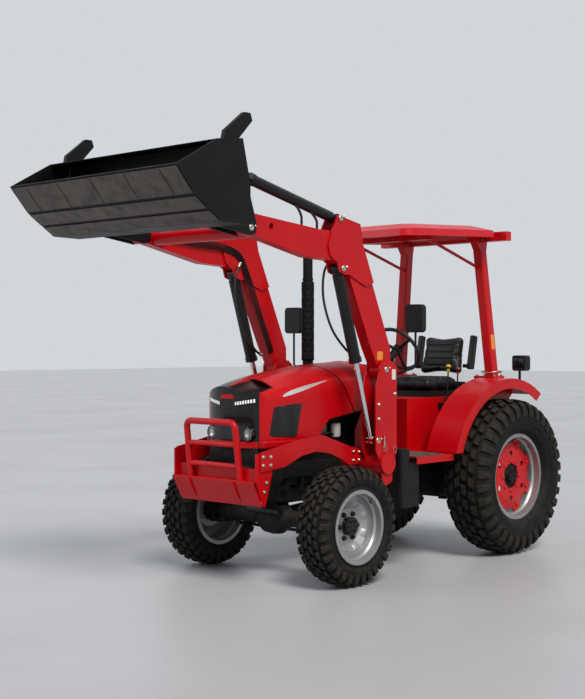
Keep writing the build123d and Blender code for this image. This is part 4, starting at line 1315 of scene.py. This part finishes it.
@dataclass
class Hydraulics:
    """Hoses, steel lines, ferrules and pin ends of the loader."""
    hose: float = 0.0085
    line: float = 0.005
    line_x: float = -438.5
    line_pitch: float = 15.0

    # For each tilt hose, the (y, z) of its port on the barrel and the z of its foot on the arm.
    TILT_HOSES = (("front", -2240, 2500, 2372), ("rear", -2090, 2466, 2357))
    # The lift hose's way on the left side.
    LIFT_HOSE = ((440, -1790, 2180), (425, -1850, 2080), (420, -1850, 1900), (425, -1770, 1700),
                 (440, -1640, 1560), (452, -1560, 1520))

    # For each body, the (y, z, x) of its pins' ends.
    PINS = {"boom": ((-1834, 2439, 566), (-1806, 2104, 566)),
            "chassis": ((-1350, 1420, 567.5), (-1440, 930, 567.5)),
            "bucket": ((-2680, 2320, 563.5), (-2790, 2668, 563.5))}

    def run(self, name: str, body: str, points: list[tuple[float, float, float]], radius: float,
            finish: Finish, ends: bool = True) -> None:
        """Builds one hose or line through its points, with a crimped ferrule at each end."""
        path = smooth_line(rows(points), 9)
        skin(name, body, finish, tube(path, radius, 12))
        if not ends:
            return
        crimp = np.array([(-0.004, 0.0), (-0.004, radius * 1.7), (0.004, radius * 1.7),
                          (0.005, radius * 1.45), (0.018, radius * 1.45), (0.019, radius * 1.3),
                          (0.034, radius * 1.25), (0.034, 0.0)])
        fittings = [spun(crimp, start, after - start, 12)
                    for start, after in ((path[0], path[3]), (path[-1], path[-4]))]
        skin(f"{name}_ferrules", body, ZINC, *fittings, smooth=35)

    def build(self) -> None:
        """Builds the hoses of both sides, the steel lines and the pins' ends."""
        for side, name in SIDES:
            for label, y, top, foot in self.TILT_HOSES:
                path = smooth_line(rows([(side * 515, y, top), (side * 519, y + 26, top - 20),
                                         (side * 519, y + 58, (top + foot) / 2),
                                         (side * 516, y + 66, foot + 22),
                                         (side * 514, y + 66, foot - 6)]), 9)
                hose = skin(f"hose_tilt_{label}_{name}", "", HOSE, tube(path, self.hose, 12))
                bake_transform(hose)
            self.run(f"hose_lift_{name}", "boom", [(side * x, y, z) for x, y, z in self.LIFT_HOSE],
                     self.hose, HOSE)
        self.lines()
        self.pins()

    def lines(self) -> None:
        """Builds the far arm's steel lines: each lies a pitch under the last, round one bend."""
        for k in range(4):
            drop, x = self.line_pitch * k, self.line_x
            self.run(f"steel_line_{k + 1}", "boom",
                     [(-450, -2560, 2366 - drop), (x, -2520, 2362 - drop),
                      (x, -2240, 2332 - drop), (x, -1990 + 0.3 * drop, 2312 - drop),
                      (x, -1800 - 0.3 * drop, 2258 - drop), (x, -1700 - 0.8 * drop, 2110 - drop),
                      (x, -1560 - 0.9 * drop, 1800 - 0.4 * drop),
                      (x, -1460 - 0.9 * drop, 1580 - 0.4 * drop),
                      (-455, -1440 - 0.9 * drop, 1540 - 0.4 * drop)], self.line, BLACK,
                     ends=False)

    def pins(self) -> None:
        """Pin ends: a turned cap with a chamfer and a bolted keeper beside it."""
        cap = np.array([(-0.003, 0.0), (-0.003, 0.021), (0.004, 0.021), (0.007, 0.018),
                        (0.007, 0.009), (0.0055, 0.007), (0.0055, 0.0)])
        for body, places in self.PINS.items():
            shell = Shell()
            for side in (1, -1):
                axis = np.array([float(side), 0.0, 0.0])
                for y, z, x in places:
                    spot = at(side * (x - 6), y, z)
                    shell.grid(spun(cap, spot, axis, 24), loop=True)
                    shell.copies(*hex_head(0.013, 0.008), spot + (0, 0.034, 0.012), axis)
            shell.build(f"pin_caps_{body}", body, ZINC, smooth=35)


@dataclass
class Fasteners:
    """Bolts on rails, masts and guard, gussets on the push plate, the masts' locking pins."""
    plate: float = 12.0

    # For each plate, the x of its outer face and the (y, z) of its bolts.
    BOLTS = ((406, ((-2420, 870), (-2420, 815), (-2350, 866), (-2350, 812), (-1520, 850),
                    (-1460, 845), (-1520, 790), (-1460, 790))),
             (565, ((-1440, 1180), (-1440, 1080), (-1262, 1250))),
             (394, ((-2395, 640), (-2375, 700))))
    GUSSET = ((-2490, 702), (-2509, 702), (-2448, 596), (-2413, 553))
    RINGS = ((-1385, 905), (-1275, 885))

    def build(self) -> None:
        """Builds one mesh of bolts, then the gussets and the pins with their rings."""
        shell = Shell()
        head = hex_head(0.018, 0.011)
        for side in (1, -1):
            for x, places in self.BOLTS:
                shell.copies(*head, rows([(side * x, y, z) for y, z in places]),
                             (float(side), 0.0, 0.0))
        shell.build("bolts_chassis", "chassis", ZINC, smooth=35)
        gussets = Shell()
        for x in (-225, 195):
            gussets.prism(rows([(x, y, z) for y, z in self.GUSSET]),
                          np.array([self.plate / 1000, 0, 0]))
        gussets.build("guard_gussets", "chassis", RED, smooth=None)
        pins = []
        turn = np.linspace(0.25, TAU - 0.25, 26)
        for side in (1, -1):
            for y, z in self.RINGS:
                ring = xyz(side * 578.0, y + 17 * np.sin(turn), z - 24 + 26 * np.cos(turn))
                pins.append(tube(rows(ring), 0.0022, 8))
            rod = np.linspace(at(side * 572, -1385, 960), at(side * 572, -1385, 880), 5)
            pins.append(tube(rod, 0.006, 12))
        skin("linch_pins", "chassis", ZINC, *pins)


@dataclass
class Stack:
    """Heat shield with rows of slots round the exhaust, and the pipe's clamps and cut end."""
    sleeve: float = 46.5

    def build(self) -> None:
        """Builds the slotted sleeve, a round grid whose slot cells are left out, then the rest."""
        z = np.concatenate([[1478.0], np.arange(1490, 2052, 7.0), [2058.0]])
        turn = around(72)
        grid = xyz(STACK_X + self.sleeve * np.cos(turn), STACK_Y + self.sleeve * np.sin(turn),
                   z[:, None])
        row, column = np.arange(len(z) - 1)[:, None], np.arange(72)[None]
        slot = ((row % 6 < 3) & ((column + 6 * ((row // 6) % 2)) % 12 < 5)
                & (row > 2) & (row < len(z) - 5))
        shell = Shell()
        shell.grid(rows(grid), loop=True, keep=~slot)
        sleeve = shell.build("stack_shield", "chassis", STACK_BLACK, smooth=40)
        wall = sleeve.modifiers.new("Wall", "SOLIDIFY")
        wall.thickness, wall.offset = 0.0016, 0.0
        band = np.array([(-0.012, 0.0365), (-0.012, 0.0395), (0.012, 0.0395), (0.012, 0.0365)])
        skin("stack_clamps", "chassis", STACK_BLACK,
             *[spun(band, at(STACK_X, STACK_Y, height), (0, 0, 1), 40) for height in (1462, 2078)],
             closed=False)
        lip = np.array([(-0.004, 0.0364), (-0.0005, 0.0362), (-0.0005, 0.0325), (0.0003, 0.032),
                        (0.0004, 0.0)])
        skin("stack_mouth", "chassis", SOOT,
             spun(lip, at(STACK_X, STACK_Y, 2240), (0, 0, 1), 40), closed=False)


@dataclass
class BucketTrim:
    """Wear strips and ribs under the bucket, the level rods, and weld beads inside."""
    half: float = 792.0
    strip: float = 7.0

    # The underside's folds from the cutting edge back, as (y, z), and the inside corner's line.
    CHAIN = ((-3520, 2610), (-3380, 2450), (-3270, 2375), (-3170, 2310))
    CORNER = ((-3500, 2612), (-3376, 2468), (-3266, 2390), (-3166, 2324), (-2976, 2320),
              (-2945, 2424), (-2945, 2548), (-3004, 2796))

    @staticmethod
    def fold(start: np.ndarray, end: np.ndarray) -> tuple[np.ndarray, np.ndarray]:
        """Directions along one fold and square to it, downwards."""
        along = unit(end - start)
        out = np.array([along[1], -along[0]])
        return along, out if out[1] < 0 else -out

    def build(self) -> None:
        """Builds the strips along the underside's folds, then the ribs, rods and beads."""
        chain = np.array(self.CHAIN, float)
        strips = Shell()
        for start, end in zip(chain[:-1], chain[1:]):
            along, out = self.fold(start, end)
            length = float(np.linalg.norm(end - start))
            low, high = start + along * 14, start + along * (length - 10)
            outline = np.array([low, high, high + out * self.strip, low + out * self.strip])
            points = [(-self.half, y, z) for y, z in outline]
            strips.prism(rows(points), np.array([self.half / 500, 0, 0]))
        strips.build("wear_strips", "bucket", WEAR_STEEL, smooth=None, bevel=0.0015)
        ribs = Shell()
        way, normal = self.fold(chain[0], chain[1])
        for x in np.linspace(-640, 640, 5):
            low = chain[0] + way * 18 + normal * self.strip
            high = chain[1] - way * 14 + normal * self.strip
            outline = [(x - 4, *low), (x - 4, *high), (x - 4, *(high + normal * 3)),
                       (x - 4, *(low + normal * 3))]
            ribs.prism(rows(outline), np.array([0.008, 0, 0]))
        ribs.build("wear_ribs", "bucket", WEAR_STEEL, smooth=None)
        skin("level_rods", "bucket", ZINC,
             *[tube(np.linspace(at(x, -3040, 2770), at(x, -3100, 2560), 8), 0.004, 10)
               for x in (789, -789)])
        skin("weld_beads", "bucket", BUCKET_BLACK,
             *[tube(smooth_line(rows([(x, y, z) for y, z in self.CORNER]), 6), 0.004, 8)
               for x in (787, -787)])


@dataclass
class EngineBay:
    """Parts seen through the hood's side opening and under the engine."""
    block: float = 176.0

    # The ends (y, z) of the hoses on each side of the engine.
    HOSES = (((-1660, 1080), (-1480, 1040)), ((-1640, 960), (-1430, 900)),
             ((-1560, 1075), (-1420, 960)))

    def build(self) -> None:
        """Builds the engine's sides, then what lies under it, and the armrests' pivots."""
        for side, name in SIDES:
            self.side(side, name)
        skin("engine_sump", "chassis", CAST_BLACK,
             cushion_box(at(-130, -1960, 500), at(130, -1420, 640), 0.035, 24))
        skin("armrest_pivots", "chassis", ABS,
             *[tube(np.linspace(at(side * 205, 72, 1425), at(side * 262, 72, 1425), 4), 0.015, 24)
               for side in (1, -1)])
        skin("battery_case", "chassis", ABS,
             cushion_box(at(-230, -2300, 775), at(230, -2052, 925), 0.018, 24))
        skin("drive_shaft_guard", "chassis", CAST_BLACK,
             tube(np.linspace(at(0, -1830, 420), at(0, -1180, 470), 12), 0.034, 24))
        skin("steering_ram", "chassis", BLACK,
             tube(np.linspace(at(-150, -1985, 455), at(150, -1985, 455), 6), 0.026, 24))

    def side(self, side: int, name: str) -> None:
        """Builds the filter, the turned covers and the hoses on one side of the engine."""
        can = np.array([(-0.055, 0.0), (-0.055, 0.030), (-0.050, 0.036), (0.03, 0.036),
                        (0.036, 0.032), (0.042, 0.030), (0.042, 0.0)])
        skin(f"filter_{name}", "chassis", DIAL, spun(can, at(side * 205, -1480, 985), (0, 0, -1), 32))
        covers = []
        for y, z, size in ((-1600, 1010, 0.05), (-1530, 905, 0.032)):
            disc = np.array([(-0.02, 0.0), (-0.02, size), (0.0, size), (0.004, size * 0.9),
                             (0.004, size * 0.5), (0.012, size * 0.45), (0.012, 0.0)])
            covers.append(spun(disc, at(side * (self.block + 10), y, z), (side, 0, 0), 36))
        skin(f"engine_covers_{name}", "chassis", RIM_SILVER, *covers)
        hoses = []
        for k, (a, b) in enumerate(self.HOSES):
            middle = ((a[0] + b[0]) / 2, (a[1] + b[1]) / 2 + 40)
            path = smooth_line(rows([(side * self.block, *a), (side * (205 + 8 * k), *middle),
                                     (side * self.block, *b)]), 10)
            hoses.append(tube(path, 0.006 + 0.003 * (k % 2), 10))
        skin(f"engine_hoses_{name}", "chassis", HOSE, *hoses)


@dataclass
class RollBar:
    """Bolts of the foot plates and the cross beam, and the looped cable at the left foot."""
    loop: float = 78.0
    cable: float = 5.5

    def build(self) -> None:
        """Builds the bolts and the cable ring."""
        shell = Shell()
        for side in (1, -1):
            feet = [(side * x, y, 1348) for x in (354, 510) for y in (48, 152)]
            shell.copies(*hex_head(0.02, 0.012), rows(feet), (0.0, 0.0, 1.0))
            beam = [(side * x, 48, z) for x in (335, 392) for z in (2418, 2452)]
            shell.copies(*hex_head(0.016, 0.01), rows(beam), (0.0, -1.0, 0.0))
        shell.build("bolts_roll_bar", "chassis", ZINC, smooth=35)
        turn, small = around(64), around(10)
        radius = self.loop + self.cable * np.cos(small)[:, None]
        high = 1380 + 6 * np.cos(turn * 2) + self.cable * np.sin(small)[:, None]
        ring = xyz(455 + radius * np.cos(turn), 100 + radius * np.sin(turn), high)
        skin("cable_loop", "chassis", ZINC, rows(np.vstack([ring, ring[:1]])))


# The whole machine


@dataclass
class Frame:
    """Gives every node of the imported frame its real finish."""

    FINISHES = {
        RED: ("boom", "loader_masts", "hood_shell", "rear_cowl", "side_rails", "brush_guard",
              "fender_left", "fender_right", "rops_frame", "platform"),
        ROOF_RED: ("canopy_roof",),
        DISC_RED: ("disc_rear_left", "disc_rear_right"),
        RIM_SILVER: ("rim_front_left", "rim_front_right", "rim_rear_left", "rim_rear_right"),
        BUCKET_BLACK: ("bucket",),
        CAST_BLACK: ("transmission", "engine_block", "front_axle", "front_frame",
                     "knuckle_left", "knuckle_right", "hub_rear_left", "hub_rear_right",
                     "drawbar", "lift_arms"),
        BLACK: ("lift_barrels", "tilt_barrels", "hub_front_left", "hub_front_right", "tie_rod",
                "lower_links", "hitch_rods", "bulkhead"),
        CHROME: ("lift_rods", "tilt_rods"),
        GLOSS: ("nose_panel",),
        MESH: ("side_grilles",),
        ABS: ("mirrors", "steering_console", "control_levers", "tail_lamps", "seat_pan",
              "fuel_tank"),
        STACK_BLACK: ("exhaust_stack",),
        GRIP: ("steering_wheel",),
        VINYL: ("armrests", "seat_cushion", "seat_back"),
        MAT: ("floor_mat",),
        RUBBER: ("tyre_front_left", "tyre_front_right", "tyre_rear_left", "tyre_rear_right"),
    }

    def dress(self) -> None:
        """Puts each finish on its nodes."""
        for finish, nodes in self.FINISHES.items():
            for node in nodes:
                mesh = bpy.data.objects[node].data
                mesh.materials.clear()
                mesh.materials.append(finish.material())
        LOG.info("dressed %d nodes", sum(len(nodes) for nodes in self.FINISHES.values()))


@dataclass(frozen=True)
class Studio:
    """Pale floor, soft lamps and the camera of the photograph.

    The floor's half side and the camera's place are in metres, the lens in millimetres, and
    the camera's angles below the horizon and round the vertical in degrees.
    """
    floor: float = 60.0
    place: tuple[float, float, float] = (6.1681, -6.9914, 1.5944)
    lens: float = 66.1
    dip: float = 0.2221
    heading: float = 42.9315

    # Name, place, target, strength, size and colour of each lamp.
    LAMPS = (("Key", (7.0, -3.5, 10.0), (0.0, 0.0, 1.0), 2.9, -22.0, "FFFAF2"),
             ("Fill", (-6.0, -9.0, 6.0), (0.0, -1.0, 1.2), 260.0, 6.0, "EEF3FF"))

    def lamp(self, name: str, place: tuple[float, float, float],
             target: tuple[float, float, float], power: float, size: float, colour: str) -> None:
        """Adds a square lamp, or the sky's broad light, that faces a target.

        Args:
            name: Name of the lamp.
            place: Where it hangs.
            target: What it faces.
            power: Its watts, or the strength of a broad light.
            size: Side of the square, or minus the angle in degrees of a broad light.
            colour: Its sRGB hex colour.
        """
        light = bpy.data.lights.new(name, "SUN" if size < 0 else "AREA")
        light.energy, light.color = power, linear(colour)[:3]
        if size < 0:
            light.angle = math.radians(-size)
        else:
            light.size = size
        lamp = bpy.data.objects.new(name, light)
        z = unit(np.subtract(place, target))
        x = unit(np.cross((0.0, 0.0, 1.0), z))
        y = np.cross(z, x)
        matrix = np.eye(4)
        matrix[:3, 0], matrix[:3, 1], matrix[:3, 2], matrix[:3, 3] = x, y, z, place
        lamp.matrix_world = Matrix(matrix.tolist())
        bpy.context.scene.collection.objects.link(lamp)

    def build(self) -> None:
        """Builds the floor, the background, the lamps and the camera."""
        shell = Shell()
        side = np.linspace(-self.floor, self.floor, 3)
        x, y = np.meshgrid(side, side, indexing="ij")
        shell.grid(xyz(x, y, -0.0005))
        mesh = bpy.data.meshes.new("floor")
        mesh.from_pydata(np.vstack(shell.points).tolist(), [], [f[::-1] for f in shell.faces])
        floor = bpy.data.objects.new("floor", mesh)
        bpy.context.scene.collection.objects.link(floor)
        mesh.materials.append(self.ground())
        world = bpy.data.worlds.new("Studio")
        bpy.context.scene.world = world
        world.use_nodes = True
        tree = world.node_tree
        tree.nodes.clear()
        rays = add(tree, "ShaderNodeLightPath")
        seen = add(tree, "ShaderNodeMath", {0: rays.outputs["Is Camera Ray"],
                                            1: rays.outputs["Is Glossy Ray"]}, operation="ADD")
        seen = add(tree, "ShaderNodeMath", {0: seen.outputs[0],
                                            1: rays.outputs["Is Transmission Ray"]},
                   operation="ADD", use_clamp=True)
        soft = add(tree, "ShaderNodeBackground", {"Color": linear("DDE3EA"), "Strength": 0.38})
        pale = add(tree, "ShaderNodeBackground", {"Color": linear("D2D6DB"), "Strength": 1.0})
        both = add(tree, "ShaderNodeMixShader", {0: seen.outputs[0]})
        tree.links.new(soft.outputs[0], both.inputs[1])
        tree.links.new(pale.outputs[0], both.inputs[2])
        add(tree, "ShaderNodeOutputWorld", {"Surface": both.outputs[0]})
        for lamp in self.LAMPS:
            self.lamp(*lamp)
        self.camera()

    def ground(self) -> bpy.types.Material:
        """Polished concrete: pale grey, faintly clouded."""
        return Finish("Polished_concrete", "B9BBBF", "ADAFB3", 0.42, patch=1600, change=0.6,
                      relief=Relief.SPRAYED, grain=40, depth=0.05).material()

    def camera(self) -> None:
        """Places the camera where the photograph was taken from."""
        lens = bpy.data.cameras.new("Camera")
        lens.lens, lens.sensor_width, lens.sensor_fit = self.lens, 36.0, "AUTO"
        lens.clip_end = 200.0
        camera = bpy.data.objects.new("Camera", lens)
        camera.location = self.place
        camera.rotation_euler = (math.radians(90 - self.dip), 0.0, math.radians(self.heading))
        bpy.context.scene.collection.objects.link(camera)
        bpy.context.scene.camera = camera
        bpy.context.scene.view_settings.view_transform = "Standard"


REAR_WHEEL = WheelSize("wheel_rear", "rear", 637, 0, 589.5, 589.5, 185, 326, 125, 34, 265)
FRONT_WHEEL = WheelSize("wheel_front", "front", 652, -1881, 396, 396, 125, 246.5, 115, 32, 190)


def main() -> None:
    """Builds every piece in order."""
    logging.basicConfig(level=logging.INFO, format="%(message)s")
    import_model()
    Frame().dress()
    for size in (REAR_WHEEL, FRONT_WHEEL):
        for side in (1, -1):
            Tyre(size, side).build()
            WheelTrim(size, side).build()
    Seat().build()
    Wheelhouse().build()
    Nose().build()
    Lamps().build()
    Labels().build()
    Hydraulics().build()
    Fasteners().build()
    Stack().build()
    BucketTrim().build()
    EngineBay().build()
    RollBar().build()
    Studio().build()


if __name__ == "__main__":
    main()
